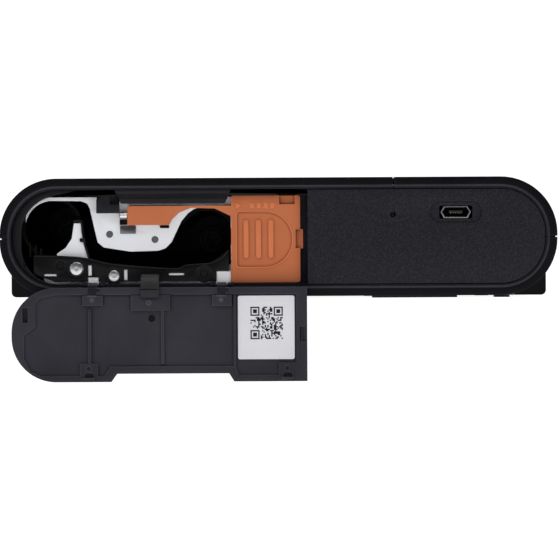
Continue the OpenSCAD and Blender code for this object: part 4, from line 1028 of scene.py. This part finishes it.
def addUsb():
    u = usbShape
    lo, hi = boxOf("usb_socket")
    cx, cz = (lo.x + hi.x) / 2, (lo.z + hi.z) / 2
    y0 = lo.y - u["front"]
    w, h, cut, wall = u["halfWidth"], u["halfHeight"], u["cut"], u["wall"]
    outer = hexagon(cx, cz, w, h, cut)
    inner = hexagon(cx, cz, w - wall * 1.4, h - wall, cut * 0.92)
    tw, th = u["tongue"]
    shell = ringPrism(outer, inner, y0, hi.y)
    rim = [e for e in shell.edges if all(abs(v.co.y - y0) < 0.01 for v in e.verts)]
    bmesh.ops.bevel(shell, geom=rim, offset=0.09, segments=2, affect="EDGES")
    body = putPiece("usbShell", shell, "case", "socket")
    # near-black sleeve inside the metal shell is painted shade in the hollow; its back wall stands for the
    # socket's own dark back
    liner = hexagon(cx, cz, w - wall * 1.45, h - wall * 1.05, cut * 0.92)
    lining = [(cx + (x - cx) * 0.97, cz + (z - cz) * 0.94) for x, z in liner]
    shadeSleeve = joined([ringPrism(liner, lining, y0 + 0.25, hi.y), prism(liner, hi.y - 1.0, hi.y - 0.5)])
    putPiece("usbLiner", shadeSleeve, "case", "ink")
    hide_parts("usb_socket")
    blade = roundBox(cx - tw, cz - th + 0.1, cx + tw, cz + th + 0.1, 0.1)
    tongue = prism(blade, y0 + 0.5, hi.y - 0.9, 0.06)
    putPiece("usbTongue", tongue, "case", "chips")
    contact = prism(roundBox(-0.14, -0.04, 0.14, 0.04, 0.02), 0, 3.0)
    middle = u["contacts"] // 2
    xs = [cx + (i - middle) * u["contactPitch"] for i in range(u["contacts"])]
    spots = [(x, y0 + 0.7, cz - th + 0.06) for x in xs]
    repeatPart("usbContacts", contact, spots, "case", "brass")


addUsb()
print("socket detailed")


# top: bead round the lid and the mark on the button

topDetail = {"beadInset": 3.2, "beadWidth": 0.6, "beadCorner": 3, "markRadius": 1.9, "markWidth": 0.3}


def flat(bm):  # turns a piece drawn facing -Y so that it faces up
    quarter = Matrix.Rotation(math.radians(-90), 3, "X")
    bmesh.ops.rotate(bm, cent=(0, 0, 0), matrix=quarter, verts=bm.verts[:])
    return bm


def moved(bm, x, y, z):
    bmesh.ops.translate(bm, vec=(x, y, z), verts=bm.verts[:])
    return bm


def addTop():
    lo, hi = boxOf("power_button")
    cx, cy = (lo.x + hi.x) / 2, (lo.y + hi.y) / 2
    r, w = topDetail["markRadius"], topDetail["markWidth"]
    turn = [math.radians(a) for a in range(-240, 61, 12)]
    path = [Vector((r * math.cos(a), 0, r * math.sin(a))) for a in turn]
    stem = prism(roundBox(-w / 2, 0.4, w / 2, r + 0.5, w / 2 - 0.01), -w / 2, w / 2)
    mark = joined([tube(path, w / 2, False, 6), stem])
    putPiece("powerMark", moved(flat(mark), cx, cy, hi.z), "power_button", "mark")
    lidLo, lidHi = boxOf("paper_lid")
    g, t, corner = topDetail["beadInset"], topDetail["beadWidth"], topDetail["beadCorner"]
    x0, x1, y1 = lidLo.x + g + 2, lidHi.x - g, lidHi.y - g
    outer = roundBox(x0, -y1, x1, y1, corner)
    inner = roundBox(x0 + t, -y1 + t, x1 - t, y1 - t, 2.4)
    bead = flat(ringPrism(outer, inner, -0.12, 0.3))
    putPiece("lidBead", moved(bead, 0, 0, lidHi.z), "lid", "lid")


addTop()
print("top detailed")
